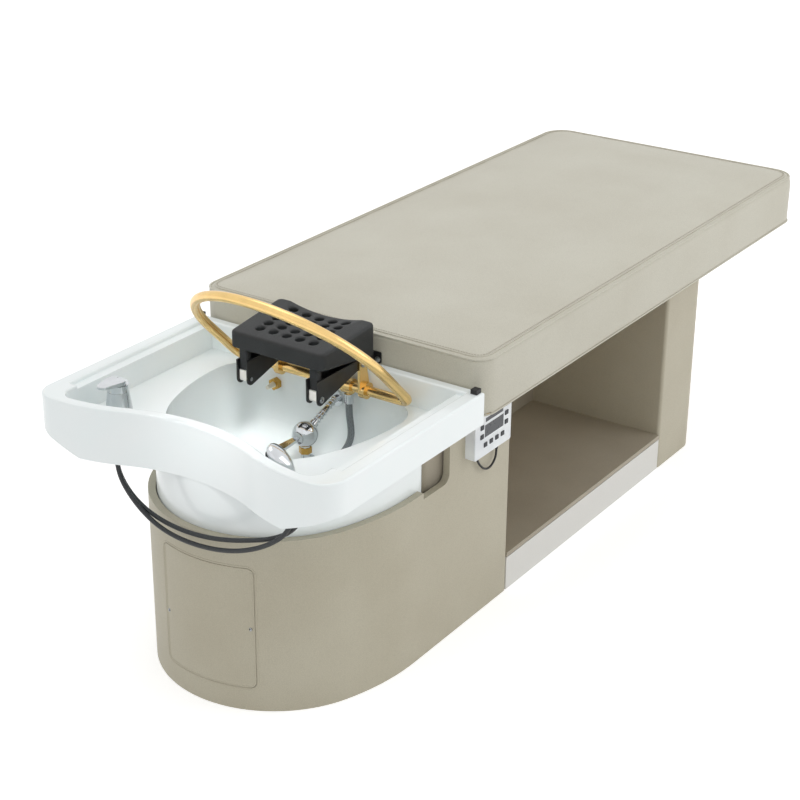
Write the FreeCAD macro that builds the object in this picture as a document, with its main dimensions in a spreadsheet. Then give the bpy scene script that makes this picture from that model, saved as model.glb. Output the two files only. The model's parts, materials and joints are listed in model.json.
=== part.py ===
"""Hair washing bed: an upholstered couch on a closed base, with a washing basin, a neck rest,
a swinging rinse hoop and a small control box.

+Z is up, X runs along the bed with the head at -X, and -Y is the side with the open storage bay.
The origin is on the floor, under the middle of the whole bed. Millimetres throughout.
"""
import FreeCAD
import Part
import Sketcher
import math
import os
from FreeCAD import Placement, Rotation, Vector

doc = FreeCAD.newDocument("HairWashingBed")
sheet = doc.addObject("Spreadsheet::Sheet", "dim")
parts = {}

# Driving dimensions: alias, value and what it is
DIMENSIONS = [
    ("MattressLength", 1475, "couch from its head face to its foot"),
    ("MattressWidth", 700, "couch across"),
    ("MattressTop", 636, "top edge of the couch above the floor"),
    ("FasciaDrop", 122, "underside of the couch under its top edge"),
    ("MattressCorner", 40, "corner radius seen from above"),
    ("CrownRise", 9, "how far the lying surface swells over its piped edge"),
    ("CrownInset", 120, "how far in from the edge the swell levels out"),
    ("PipingOut", 2.5, "how far the welt stands out round the top edge"),
    ("PipingDepth", 7, "height of the welt"),
    ("CoverWall", 9, "padding and cover outside the timber frame"),
    ("FrameGap", 0.5, "play between the cover and the frame"),
    ("RailThickness", 22, "timber rails of the couch frame"),
    ("RailDepth", 80, "height of the rails"),
    ("DeckBoard", 12, "board under the foam"),
    ("BodyInset", 82.5, "base's sides in from the couch's sides"),
    ("HeadNose", 446, "front of the base ahead of the couch's head face"),
    ("NoseInset", 17.5, "how much smaller the nose's round is than half the base"),
    ("NoseStart", 105, "where the sides begin to curve, ahead of the head face"),
    ("ShellWall", 15, "upholstered board of the base"),
    ("CabinetDrop", 206, "top edge of the round head cabinet under the rim"),
    ("NotchDrop", 13, "bottom of the side notch behind the tub under the cabinet's top"),
    ("NotchBack", 12, "full height wall starts here, behind the head face"),
    ("NotchCorner", 20, "round at the bottom of the notch"),
    ("PillarEdge", 245, "head end of the storage bay, behind the head face"),
    ("LegEdge", 954, "foot end of the storage bay, behind the head face"),
    ("LegFoot", 1160, "foot face of the leg, behind the head face"),
    ("LegCorner", 60, "round of the leg's outer corners"),
    ("BayDepth", 355, "storage bay from its open side to its back panel"),
    ("BayBoard", 15, "back panel of the bay"),
    ("ShelfTop", 90, "floor of the bay above the ground"),
    ("ShelfBoard", 10, "thickness of the bay's floor"),
    ("PlinthGap", 2, "shadow gap between the bay's floor and the plinth"),
    ("PlinthBoard", 16, "plinth board"),
    ("BaseBoard", 16, "floor of the head cabinet"),
    ("SeatGap", 0.5, "play of boards inside the base"),
    ("DoorWidth", 208, "access opening across"),
    ("DoorHeight", 262, "access opening, height"),
    ("DoorBottom", 50, "access opening above the floor"),
    ("DoorShift", -13, "middle of the access opening across the bed"),
    ("DoorCorner", 14, "corner radius of the access opening"),
    ("DoorGap", 0.8, "joint round the access panel"),
    ("BattenWidth", 30, "strip behind each side of the access opening"),
    ("BattenPlay", 0.05, "glue joint between a strip and the wall"),
    ("BattenDepth", 14, "thickness of that strip"),
    ("DoorScrewRadius", 4, "head of the access panel's screws"),
    ("DoorScrewLength", 26, "length of those screws"),
    ("DoorScrewInset", 9, "screws in from the panel's edge"),
    ("DoorScrewStand", 0.6, "how far those screws stand out"),
    ("BasinReach", 493, "basin ahead of the couch's head face"),
    ("BasinGap", 0.4, "joint between the basin and the couch"),
    ("RimDrop", 60, "top of the basin's rim under the couch's top edge"),
    ("BasinCorner", 50, "round of the rim's front corners"),
    ("FrontDip", 62, "how deep the front curves in at its middle"),
    ("RimFront", 24, "rim across at the front"),
    ("RimSide", 49, "rim across at the sides"),
    ("RimBack", 22, "rim across at the couch"),
    ("StepWidth", 20, "ledge let into each side rim"),
    ("StepDrop", 8, "how far that ledge lies under the rim"),
    ("BasinWall", 6, "thickness of the basin"),
    ("RimRound", 4, "round of the rim's edges"),
    ("DeckCorner", 30, "corner of the opening between the rims"),
    ("DeckDrop", 60, "deck under the rim"),
    ("ApronFront", 110, "apron's height at the front"),
    ("ApronSide", 66, "apron's height at the sides"),
    ("ApronSlope", 110, "length over which the apron steps up at each side"),
    ("TubGap", 2, "tub's play inside the cabinet"),
    ("SkirtCorner", 57, "round of the skirt's back corners"),
    ("SkirtDrop", 25, "lower edge of the skirt under the cabinet's top"),
    ("SkirtGap", 12, "space between the skirt and the tub"),
    ("TubCorner", 82, "round of the tub's back corners, outside"),
    ("TubDrop", 40, "underside of the tub under the cabinet's top"),
    ("BowlRound", 60, "round between the bowl's wall and its bottom"),
    ("DrainAhead", 236, "drain ahead of the head face"),
    ("DrainRadius", 31, "hole for the drain"),
    ("DrainFlange", 40, "flange of the strainer"),
    ("DrainWall", 2.5, "metal of the strainer"),
    ("DrainDepth", 34, "strainer under the bowl"),
    ("StrainerHole", 3, "radius of the strainer's holes"),
    ("StrainerRing", 16, "radius of the ring of holes"),
    ("TrapRadius", 22, "waste trap pipe"),
    ("TrapBowl", 44, "radius of the trap's cup"),
    ("TrapCup", 70, "height of the trap's cup"),
    ("BearerThickness", 22, "timber bearer under the tub"),
    ("BearerDepth", 40, "height of a bearer"),
    ("BearerPlay", 0.1, "play between a bearer's ends and the wall"),
    ("BearerSpan", 125, "bearers to each side of the drain"),
    ("BumperLength", 16, "rubber bumper on the rim"),
    ("BumperWidth", 14, "rubber bumper across"),
    ("BumperHeight", 9, "rubber bumper above the rim"),
    ("ArmOuter", 98, "outer face of each headrest arm from the middle"),
    ("ArmWidth", 27.5, "channel across"),
    ("ArmPlate", 3, "metal of the channel"),
    ("ArmFront", 190, "front of the arms ahead of the head face"),
    ("ArmRise", 24, "top of the arms over the rim"),
    ("ArmLift", 4, "underside of the arms at the couch over the rim"),
    ("ArmTaper", 53, "level part of the underside"),
    ("PinAhead", 178, "clevis pin ahead of the head face"),
    ("PinDrop", 16, "clevis pin under the rim"),
    ("PinEar", 12, "round of the ear at the pin"),
    ("PinRadius", 4, "clevis pin"),
    ("PinPlay", 0.05, "running clearance of the pins"),
    ("PinHead", 6.5, "radius of the pin's head"),
    ("PinHeadHeight", 2, "height of the pin's head"),
    ("WebStart", 146, "front of the channel's web ahead of the head face"),
    ("FlangeWidth", 56, "mounting flange at the couch"),
    ("FlangeHeight", 23, "mounting flange at the couch"),
    ("FlangeHole", 3.3, "radius of the flange's screw holes"),
    ("BoltLength", 24, "screws of the flanges in the frame"),
    ("ScrewHead", 2.5, "height of the screws' heads"),
    ("PadFront", 192, "front of the neck rest ahead of the head face"),
    ("PadBack", 26, "back of the neck rest ahead of the head face"),
    ("PadHalfFront", 111, "half of the neck rest across at its front"),
    ("PadHalfBack", 117, "half of the neck rest across at its back"),
    ("PadDish", 3, "how far the hollow rises to the back"),
    ("PadHorn", 22, "raised corners beside the hollow"),
    ("PadStand", 82, "top of the neck rest at the front over the rim"),
    ("PadRise", 15, "how much higher its back is"),
    ("PadFrontLift", 48, "bottom of its front wall over the rim"),
    ("PadBackLift", 30, "bottom of its back corners over the rim"),
    ("PadSkin", 12, "thickness of its top"),
    ("PadWall", 6, "thickness of its walls"),
    ("PadCorner", 12, "round of its upright corners"),
    ("PadEdge", 5, "round of its top edge"),
    ("HoleRadius", 9.5, "perforations of the neck rest"),
    ("HolePitchAcross", 32, "pitch of the perforations across"),
    ("HolePitchAlong", 26, "pitch of the perforations along"),
    ("HoleFirst", 37, "first row behind the front of the neck rest"),
    ("HoleColumns", 5, "perforations in a row"),
    ("HoleRows", 5, "rows of perforations"),
    ("LegLength", 14, "headrest leg along the bed"),
    ("LegWidth", 20, "headrest leg across"),
    ("BlockLift", 2, "joint between the black leg and its white hinge block over the rim"),
    ("BlockEye", 9.5, "round of the hinge block at the pin"),
    ("RestGap", 0.3, "gap under the pad's rest ribs"),
    ("RibLength", 12, "rest ribs along the bed"),
    ("HoopAhead", 43, "hoop's bar ahead of the head face"),
    ("HoopDrop", 43, "hoop's bar under the rim"),
    ("HoopHalf", 210, "half of the hoop across, on the tube's middle line"),
    ("HoopLeg", 127, "straight side of the hoop"),
    ("HoopCorner", 24, "bend radius at the bar's ends"),
    ("HoopTilt", 45, "hoop's lean up from level, in degrees"),
    ("HoopTube", 10, "outer radius of the hoop's tube"),
    ("HoopBore", 8.5, "inner radius of the hoop's tube"),
    ("SprayHoles", 11, "spray holes round the hoop's bow"),
    ("SprayRadius", 1.2, "radius of a spray hole"),
    ("HoopPlay", 0.05, "running clearance of the hoop in its bearings"),
    ("ClampEye", 17, "outer radius of the hoop's bearing"),
    ("ClampWidth", 13, "width of the hoop's bearing"),
    ("ClampPlate", 5, "bearing's plate on the arm"),
    ("BoltLift", 14, "bolt of the bearing's plate over the rim"),
    ("ClampBoltAhead", 50, "bolt ahead of the head face"),
    ("ClampTop", 11, "round of the plate at its bolt"),
    ("BoltRadius", 3.5, "bolt through the arm"),
    ("BoltHead", 6, "head of that bolt"),
    ("InletPlace", 64, "swivel inlet on the bar, from the middle"),
    ("InletWidth", 22, "width of the swivel inlet"),
    ("InletRadius", 15.5, "outer radius of the swivel inlet"),
    ("NippleRadius", 6, "nipple under the swivel inlet"),
    ("NippleLength", 2, "nipple under the swivel inlet"),
    ("FerruleRadius", 9.5, "crimped ferrule of the rinse hose"),
    ("FerruleLength", 20, "crimped ferrule of the rinse hose"),
    ("FerruleTail", 10, "upright part of the elbow under the valve's nut"),
    ("FerruleArm", 16, "slanted part of that elbow"),
    ("HoseFall", 32, "hose's slope out of the elbow, in degrees under level"),
    ("HoseRadius", 7, "rinse hose"),
    ("ValveAhead", 130, "valve body ahead of the head face"),
    ("ValveSide", 21, "valve from the middle"),
    ("ValveDrop", 127, "middle of the valve body under the rim"),
    ("ValveRadius", 26, "valve body"),
    ("ShankDrop", 88, "shank under the rim"),
    ("ShankRadius", 7.5, "shank"),
    ("PlateRadius", 17, "wall plate of the shank"),
    ("PlateDepth", 6, "wall plate of the shank"),
    ("NutRadius", 13, "brass nut under the valve"),
    ("NutHeight", 14, "brass nut under the valve"),
    ("LeverLength", 84, "valve lever"),
    ("LeverWidth", 19, "valve lever at its end"),
    ("LeverDepth", 6, "valve lever"),
    ("LeverFall", 12, "lever's rest below level, in degrees"),
    ("LeverCap", 26, "half angle of the lever's cap over the dome"),
    ("LeverCapWall", 3, "thickness of that cap"),
    ("LeverCapGap", 0.3, "gap between the cap and the dome"),
    ("ShankStub", 5, "level part of the shank in front of its plate"),
    ("CollarRadius", 9, "collar of the neck at the dome"),
    ("CollarLength", 9, "collar of the neck at the dome"),
    ("NeckRadius", 6.5, "slanting neck between the wall plate and the dome"),
    ("SpoutSide", 132, "rinse spout on the far side of the middle"),
    ("SpoutDrop", 95, "rinse spout under the rim"),
    ("SpoutRadius", 13, "nut of the rinse spout"),
    ("SpoutDepth", 12, "nut of the rinse spout"),
    ("NubRadius", 6, "nozzle of the rinse spout"),
    ("NubLength", 20, "nozzle of the rinse spout"),
    ("MixerAhead", 372, "deck mixer ahead of the head face"),
    ("MixerInset", 110, "deck mixer in from the basin's far side"),
    ("MixerRadius", 27, "foot of the deck mixer"),
    ("MixerFoot", 48, "height of the deck mixer's foot"),
    ("MixerNeck", 21, "radius at the foot's top"),
    ("MixerCap", 14, "height of the turning cap"),
    ("MixerLeverLength", 60, "deck mixer's lever"),
    ("MixerLeverWidth", 40, "deck mixer's lever at its hub"),
    ("MixerLeverTip", 12, "radius of the lever's tip"),
    ("MixerLeverDepth", 9, "deck mixer's lever"),
    ("MixerPin", 3, "lever's hinge pin"),
    ("MixerShank", 11, "threaded shank under the deck"),
    ("MixerShankLength", 42, "threaded shank under the deck"),
    ("MixerJoint", 0.3, "gap between the foot, the cap and the lever"),
    ("HandsetAhead", 416, "hand shower ahead of the head face"),
    ("HandsetInset", 145, "hand shower in from the basin's near side"),
    ("SocketRadius", 17, "ring of the hand shower's socket"),
    ("SocketHeight", 5, "ring of the hand shower's socket"),
    ("SocketBore", 12, "bore of the socket"),
    ("SocketWall", 2, "metal of the socket's tube"),
    ("SocketDepth", 40, "socket under the deck"),
    ("HandleRadius", 11.5, "hand shower's handle"),
    ("HandleDrop", 34, "handle under the deck"),
    ("HandleRise", 42, "handle over the deck"),
    ("HeadRadius", 25, "hand shower's head"),
    ("HeadDepth", 24, "hand shower's head"),
    ("SupplyRadius", 4.5, "braided supply hoses"),
    ("SupplyFerrule", 6, "ferrules of the supply hoses"),
    ("SupplyFerruleLength", 16, "ferrules of the supply hoses"),
    ("BoxLength", 137, "control box along the bed"),
    ("BoxHeight", 105, "control box"),
    ("BoxDepth", 23, "control box off the wall"),
    ("BoxBackDepth", 13, "back half of the control box"),
    ("BoxAhead", 68, "control box behind the head face"),
    ("BoxDrop", 131, "control box's bottom under the couch's underside"),
    ("BoxCorner", 5, "round of the control box"),
    ("BoxWall", 2.5, "wall of the control box"),
    ("WindowLength", 71, "display window"),
    ("WindowHeight", 27, "display window"),
    ("WindowRise", 54.5, "middle of the window above the box's bottom"),
    ("WindowShift", 2, "middle of the window from the middle of the box"),
    ("WindowGlass", 1.5, "thickness of the window"),
    ("BarLength", 66, "dark strip over the window"),
    ("BarHeight", 9, "dark strip over the window"),
    ("BarRise", 24, "strip over the window's middle"),
    ("KeyLength", 11, "keys across"),
    ("KeyHeight", 9, "keys"),
    ("KeyPlay", 0.3, "gap round each key"),
    ("KeyStand", 1.6, "how far a key stands out of the box"),
    ("KeyFlange", 1.2, "collar that holds a key in"),
    ("KeySideReach", 46, "side keys from the window's middle"),
    ("KeySidePitch", 20, "pitch of the side keys"),
    ("KeySideRise", 2, "middle of the side keys over the window's middle"),
    ("KeyRowPitch", 21.5, "pitch of the bottom keys"),
    ("KeyRowDrop", 29.5, "bottom keys under the window's middle"),
    ("CableRadius", 2.3, "control cable"),
    ("GlandRadius", 4.6, "strain relief at the box"),
    ("GlandTip", 2.9, "strain relief at its tip"),
    ("GlandLength", 16, "strain relief"),
    ("GlandPlace", 107, "strain relief from the box's head end"),
    ("CableEnd", 33, "cable's other end from the box's head end"),
    ("EdgeRound", 8, "soft edges of the upholstered boards"),
    ("Seat", 1, "how far a pad reaches into the piece that it grows from"),
    ("Overrun", 5, "how far every cut runs past its work"),
]


class Size:
    """A number together with its expression over the sheet, so both stay the same."""

    def __init__(self, number, text):
        self.number = float(number)
        self.text = text

    def __add__(self, other):
        other = as_size(other)
        return Size(self.number + other.number, f"({self.text} + {other.text})")

    def __sub__(self, other):
        other = as_size(other)
        return Size(self.number - other.number, f"({self.text} - {other.text})")

    def __mul__(self, other):
        other = as_size(other)
        return Size(self.number * other.number, f"({self.text} * {other.text})")

    def __truediv__(self, other):
        other = as_size(other)
        return Size(self.number / other.number, f"({self.text} / {other.text})")

    def __rsub__(self, other):
        return as_size(other) - self

    def __neg__(self):
        return Size(-self.number, f"(0 - {self.text})")

    __radd__ = __add__
    __rmul__ = __mul__


def as_size(value):
    """Turn a plain count or share into a Size."""
    return value if isinstance(value, Size) else Size(value, repr(float(value)))


def root(value):
    """Square root of a Size."""
    return Size(math.sqrt(value.number), f"sqrt({value.text})")


class Dimensions:
    """The sheet's cells by name."""


d = Dimensions()
for row, (alias, number, meaning) in enumerate(DIMENSIONS, start=1):
    sheet.set(f"A{row}", alias)
    sheet.set(f"B{row}", str(number))
    sheet.set(f"C{row}", meaning)
    sheet.setAlias(f"B{row}", alias)
    setattr(d, alias, Size(number, f"dim.{alias}"))
doc.recompute()

# Heights that hang on one another, from the couch's top edge down
d.RimTop = d.MattressTop - d.RimDrop
d.FasciaBottom = d.MattressTop - d.FasciaDrop
d.CabinetTop = d.RimTop - d.CabinetDrop
d.NotchBottom = d.CabinetTop - d.NotchDrop
d.SkirtBottom = d.CabinetTop - d.SkirtDrop
d.TubBottom = d.CabinetTop - d.TubDrop
d.ArmTop = d.RimTop + d.ArmRise
d.ArmUnder = d.RimTop + d.ArmLift
d.PinHeight = d.RimTop - d.PinDrop
d.PadTop = d.RimTop + d.PadStand
d.PadUnderFront = d.RimTop + d.PadFrontLift
d.PadUnderBack = d.RimTop + d.PadBackLift
d.BlockTop = d.RimTop + d.BlockLift
d.HoopHeight = d.RimTop - d.HoopDrop
d.ClampBolt = d.RimTop + d.BoltLift
d.ValveHeight = d.RimTop - d.ValveDrop
d.ShankHeight = d.RimTop - d.ShankDrop
d.SpoutHeight = d.RimTop - d.SpoutDrop
d.BoxBottom = d.FasciaBottom - d.BoxDrop

ZERO = as_size(0)


# Helpers over the document

def bind(thing, prop, size):
    """Bind one property of a document object to a Size."""
    thing.setExpression(prop, as_size(size).text)


def place(thing, x, y, z):
    """Bind an object's position."""
    for axis, value in zip("xyz", (x, y, z)):
        bind(thing, f"Placement.Base.{axis}", value)


def block(name, x0, x1, y0, y1, z0, z1):
    """A box between two corners."""
    thing = doc.addObject("Part::Box", name)
    bind(thing, "Length", x1 - x0)
    bind(thing, "Width", y1 - y0)
    bind(thing, "Height", z1 - z0)
    place(thing, x0, y0, z0)
    return thing


TURNS = {
    "x": Rotation(Vector(0, 1, 0), 90),
    "-x": Rotation(Vector(0, 1, 0), -90),
    "y": Rotation(Vector(1, 0, 0), -90),
    "-y": Rotation(Vector(1, 0, 0), 90),
    "z": Rotation(),
    "-z": Rotation(Vector(1, 0, 0), 180),
}


def rod(name, axis, x, y, z, radius, length):
    """A cylinder from a point, along one axis."""
    thing = doc.addObject("Part::Cylinder", name)
    thing.Placement.Rotation = TURNS[axis]
    bind(thing, "Radius", radius)
    bind(thing, "Height", length)
    place(thing, x, y, z)
    return thing


def cone(name, axis, x, y, z, radius, tip, length):
    """A tapered rod from a point, along one axis."""
    thing = doc.addObject("Part::Cone", name)
    thing.Placement.Rotation = TURNS[axis]
    bind(thing, "Radius1", radius)
    bind(thing, "Radius2", tip)
    bind(thing, "Height", length)
    place(thing, x, y, z)
    return thing


def ball(name, x, y, z, radius):
    """A sphere."""
    thing = doc.addObject("Part::Sphere", name)
    bind(thing, "Radius", radius)
    place(thing, x, y, z)
    return thing


def cut(name, base, *tools):
    """The base with the tools taken away."""
    for number, tool in enumerate(tools):
        last = number == len(tools) - 1
        thing = doc.addObject("Part::Cut", name if last else f"{name}_cut")
        thing.Base = base
        thing.Tool = tool
        base = thing
    return base


def fuse(name, *things):
    """Several shapes joined into one solid."""
    thing = doc.addObject("Part::MultiFuse", name)
    thing.Shapes = list(things)
    thing.Refine = True
    return thing


def common(name, base, tool):
    """What two shapes share."""
    thing = doc.addObject("Part::Common", name)
    thing.Base = base
    thing.Tool = tool
    return thing


def group(name, *things):
    """Like pieces that share a node, kept as separate solids."""
    thing = doc.addObject("Part::Compound", name)
    thing.Links = list(things)
    return thing


def mirrored(name, thing):
    """The same piece on the other side of the bed."""
    copy = doc.addObject("Part::Mirroring", name)
    copy.Source = thing
    copy.Normal = Vector(0, 1, 0)
    return copy


def rounded(name, base, radius, pick):
    """The base with the edges that pick chooses rounded."""
    doc.recompute()
    thing = doc.addObject("Part::Fillet", name)
    thing.Base = base
    chosen = [n for n, edge in enumerate(base.Shape.Edges, start=1) if pick(edge)]
    thing.Edges = [(n, radius.number, radius.number) for n in chosen]
    return thing


def upright(edge):
    """Whether an edge is a straight line along Z."""
    line = edge.Vertexes[-1].Point - edge.Vertexes[0].Point
    return len(edge.Vertexes) == 2 and line.Length > 0 and abs(line.z) > 0.999 * line.Length


def lengthwise(edge):
    """Whether an edge is a straight line along X."""
    line = edge.Vertexes[-1].Point - edge.Vertexes[0].Point
    return len(edge.Vertexes) == 2 and line.Length > 0 and abs(line.x) > 0.999 * line.Length


def keep(name, thing):
    """Give a finished sub-part its label."""
    thing.Label = name
    parts[name] = thing
    return thing


def shape_part(name, shape):
    """A sub-part whose shape is worked out with Part's own functions."""
    thing = doc.addObject("Part::Feature", name)
    thing.Shape = shape
    thing.Placement = Placement()
    return thing


# Helpers for PartDesign bodies

PLANES = {"XY": "XY_Plane", "XZ": "XZ_Plane", "YZ": "YZ_Plane"}


def new_body(name):
    """A body for one moulded or machined piece."""
    return doc.addObject("PartDesign::Body", name)


def profile(body, name, plane, height, outline, *more):
    """A constrained sketch of closed outlines on one of the body's planes.

    An outline is a list of corners (across, up) or (across, up, radius, centre side), where a
    radius makes the stretch to the next corner an arc whose centre is on that side.
    """
    sketch = body.newObject("Sketcher::SketchObject", name)
    support = [f for f in body.Origin.OriginFeatures if f.Role == PLANES[plane]][0]
    sketch.AttachmentSupport = (support, [""])
    sketch.MapMode = "FlatFace"
    bind(sketch, "AttachmentOffset.Base.z", height)
    for corners in (outline, *more):
        draw(sketch, corners)
    return sketch


def draw(sketch, corners):
    """Add one closed outline and tie every corner and radius to the sheet."""
    first = sketch.GeometryCount
    count = len(corners)
    lines = []
    for number, corner in enumerate(corners):
        following = corners[(number + 1) % count]
        start = flat(corner)
        end = flat(following)
        if len(corner) == 2:
            lines.append(Part.LineSegment(start, end))
        else:
            lines.append(arc_between(start, end, corner[2].number, corner[3]))
    sketch.addGeometry(lines, False)
    ends = [start_point(sketch, first + n, corner) for n, corner in enumerate(corners)]
    rules = []
    values = []
    for number, corner in enumerate(corners):
        edge = first + number
        after = (number + 1) % count
        rules.append(Sketcher.Constraint("Coincident", edge, 3 - ends[number], first + after, ends[after]))
        values.append(None)
        for kind, value in (("DistanceX", corner[0]), ("DistanceY", corner[1])):
            rules.append(Sketcher.Constraint(kind, -1, 1, edge, ends[number], as_size(value).number))
            values.append(as_size(value))
        if len(corner) > 2:
            rules.append(Sketcher.Constraint("Radius", edge, corner[2].number))
            values.append(corner[2])
    base = sketch.ConstraintCount
    sketch.addConstraint(rules)
    for number, value in enumerate(values):
        if value is not None:
            sketch.setExpression(f"Constraints[{base + number}]", value.text)


def flat(corner):
    """A corner as a point of the sketch."""
    return Vector(as_size(corner[0]).number, as_size(corner[1]).number, 0)


def arc_between(start, end, radius, side):
    """An arc from start to end, with its centre to the left (+1) or right (-1) of that way."""
    middle = (start + end) / 2
    chord = end - start
    reach = math.sqrt(max(radius ** 2 - (chord.Length / 2) ** 2, 0))
    across = Vector(-chord.y, chord.x, 0).normalize()
    centre = middle + across * (reach * side)
    top = centre - across * (radius * side)
    return Part.Arc(start, top, end) if side > 0 else Part.Arc(end, top, start)


def start_point(sketch, edge, corner):
    """Which end of a sketch edge lies at its corner."""
    geometry = sketch.Geometry[edge]
    here = flat(corner)
    return 1 if (geometry.StartPoint - here).Length < (geometry.EndPoint - here).Length else 2


def pad(body, sketch, length, both=False, reverse=False):
    """Add material from a sketch."""
    feature = body.newObject("PartDesign::Pad", f"{body.Name}_pad")
    feature.Profile = sketch
    bind(feature, "Length", length)
    feature.SideType = "Symmetric" if both else "One side"
    feature.Reversed = reverse
    sketch.Visibility = False
    return feature


def pocket(body, sketch, length, both=False, reverse=False):
    """Take material away, and check that it really cuts."""
    doc.recompute()
    before = body.Shape.Volume
    feature = body.newObject("PartDesign::Pocket", f"{body.Name}_pocket")
    feature.Profile = sketch
    bind(feature, "Length", length)
    feature.SideType = "Symmetric" if both else "One side"
    feature.Reversed = reverse
    doc.recompute()
    if "Invalid" in feature.State or body.Shape.Volume >= before:
        raise RuntimeError(f"{feature.Name} cuts nothing: {feature.State}, {sketch.Name}")
    return feature


def fillet(body, radius, pick):
    """Round the edges of a body that pick chooses."""
    doc.recompute()
    last = body.Tip
    names = [f"Edge{n}" for n, edge in enumerate(last.Shape.Edges, start=1) if pick(edge)]
    feature = body.newObject("PartDesign::Fillet", f"{body.Name}_fillet")
    feature.Base = (last, names)
    bind(feature, "Radius", radius)
    doc.recompute()
    if "Invalid" in feature.State or not names:
        raise RuntimeError(f"{feature.Name} of {body.Name} fails on {len(names)} edges")
    return feature


def rectangle(x0, x1, y0, y1):
    """Corners of a plain rectangle."""
    return [(x0, y0), (x1, y0), (x1, y1), (x0, y1)]


def soft_rectangle(x0, x1, y0, y1, radius):
    """Corners of a rectangle with four rounds."""
    return [
        (x0 + radius, y0), (x1 - radius, y0, radius, 1),
        (x1, y0 + radius), (x1, y1 - radius, radius, 1),
        (x1 - radius, y1), (x0 + radius, y1, radius, 1),
        (x0, y1 - radius), (x0, y0 + radius, radius, 1),
    ]


# Places that several pieces share
face = (d.BasinReach - d.MattressLength - d.PipingOut) / 2
couch_foot = face + d.MattressLength
half_width = d.MattressWidth / 2
body_half = half_width - d.BodyInset
nose_round = body_half - d.NoseInset
nose_x = face - d.HeadNose + nose_round
side_x = face - d.NoseStart
nose_reach = d.HeadNose - d.NoseStart
side_radius = (nose_reach * nose_reach + body_half * body_half - nose_reach * nose_round * 2) \
    / ((body_half - nose_round) * 2)
blend_along = (nose_x - side_x) / (side_radius - nose_round)
blend_across = (side_radius - body_half) / (side_radius - nose_round)
pillar_x = face + d.PillarEdge
leg_x = face + d.LegEdge
foot_x = face + d.LegFoot
tub_inset = d.ShellWall + d.TubGap
basin_half = half_width
basin_back = face - d.BasinGap
basin_front = face - d.BasinReach
inner_back = basin_back - d.RimBack
inner_half = basin_half - d.RimSide
tub_back = inner_back + d.BasinWall
deck_top = d.RimTop - d.DeckDrop
deck_under = deck_top - d.BasinWall
bowl_floor = d.TubBottom + d.BasinWall
drain_x = face - d.DrainAhead
pin_x = face - d.PinAhead
arm_mid = d.ArmOuter - d.ArmWidth / 2
hoop_x = face - d.HoopAhead
near_wall = -body_half


def nose(inset, back, corner=None):
    """Outline of the base's round head end, set in from its outside, with a straight back."""
    half = body_half - inset
    side = side_radius - inset
    tip = nose_round - inset
    blend = nose_x + blend_along * tip
    outline = [
        (side_x, -half, side, -1),
        (blend, -(blend_across * tip), tip, -1),
        (blend, blend_across * tip, side, -1),
        (side_x, half),
    ]
    if corner is None:
        return outline + [(back, half), (back, -half)]
    return outline + [
        (back - corner, half, corner, -1), (back, half - corner),
        (back, -half + corner, corner, -1), (back - corner, -half),
    ]


def nose_face(inset, across):
    """Where the nose's round lies at a place across the bed."""
    tip = nose_round - inset
    return nose_x - root(tip * tip - across * across)


def link(x0, z0, r0, x1, z1, r1):
    """Outline of a flat link between two rounds, the second one below or beside the first."""
    dx = x1 - x0
    dz = z1 - z0
    reach = root(dx * dx + dz * dz)
    ux = dx / reach
    uz = dz / reach
    lean = (r1 - r0) / reach
    spread = root(as_size(1) - lean * lean)
    left_x = uz * spread - ux * lean
    left_z = -(ux * spread) - uz * lean
    right_x = -(uz * spread) - ux * lean
    right_z = ux * spread - uz * lean
    return [
        (x0 + left_x * r0, z0 + left_z * r0),
        (x1 + left_x * r1, z1 + left_z * r1, r1, 1),
        (x1 + ux * r1, z1 + uz * r1, r1, 1),
        (x1 + right_x * r1, z1 + right_z * r1),
        (x0 + right_x * r0, z0 + right_z * r0, r0, 1),
        (x0 - ux * r0, z0 - uz * r0, r0, 1),
    ]


# Base: the upholstered head cabinet, the storage bay and the leg

door_low = d.DoorShift - d.DoorWidth / 2
door_high = d.DoorShift + d.DoorWidth / 2
door_top = d.DoorBottom + d.DoorHeight


def nose_panel(inset, depth, low, high):
    """Outline of a strip of the curved nose wall between two places across the bed."""
    inner = inset + depth
    return [
        (nose_face(inset, low), low, nose_round - inset, -1),
        (nose_face(inset, high), high),
        (nose_face(inner, high), high, nose_round - inner, 1),
        (nose_face(inner, low), low),
    ]


def cabinet_shell():
    """Board wall round the head cabinet, closed by the bay's head partition."""
    body = new_body("cabinet_shell")
    wall = profile(body, "wall_outline", "XY", 0, nose(0, pillar_x),
                   nose(d.ShellWall, pillar_x - d.ShellWall))
    pad(body, wall, d.FasciaBottom)
    front = face - d.HeadNose - d.Overrun
    high = d.FasciaBottom + d.Overrun
    open_at = -d.SkirtCorner - d.RimBack
    notch = face + d.NotchBack
    top = profile(body, "top_outline", "XZ", 0, [
        (front, d.CabinetTop), (face + open_at, d.CabinetTop), (face + open_at, d.NotchBottom),
        (notch - d.NotchCorner, d.NotchBottom, d.NotchCorner, 1),
        (notch, d.NotchBottom + d.NotchCorner), (notch, high), (front, high),
    ])
    pocket(body, top, body_half * 2 + d.Overrun, both=True)
    opening = profile(body, "door_outline", "YZ", nose_x, soft_rectangle(
        door_low, door_high, d.DoorBottom, door_top, d.DoorCorner))
    pocket(body, opening, nose_round + d.Overrun)
    fillet(body, d.EdgeRound, lambda edge: upright(edge) and edge.BoundBox.XMin
           > pillar_x.number - d.EdgeRound.number and abs(edge.BoundBox.YMin)
           > body_half.number - d.EdgeRound.number and edge.BoundBox.YMax < 0)
    return keep("cabinet_shell", body)


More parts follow.
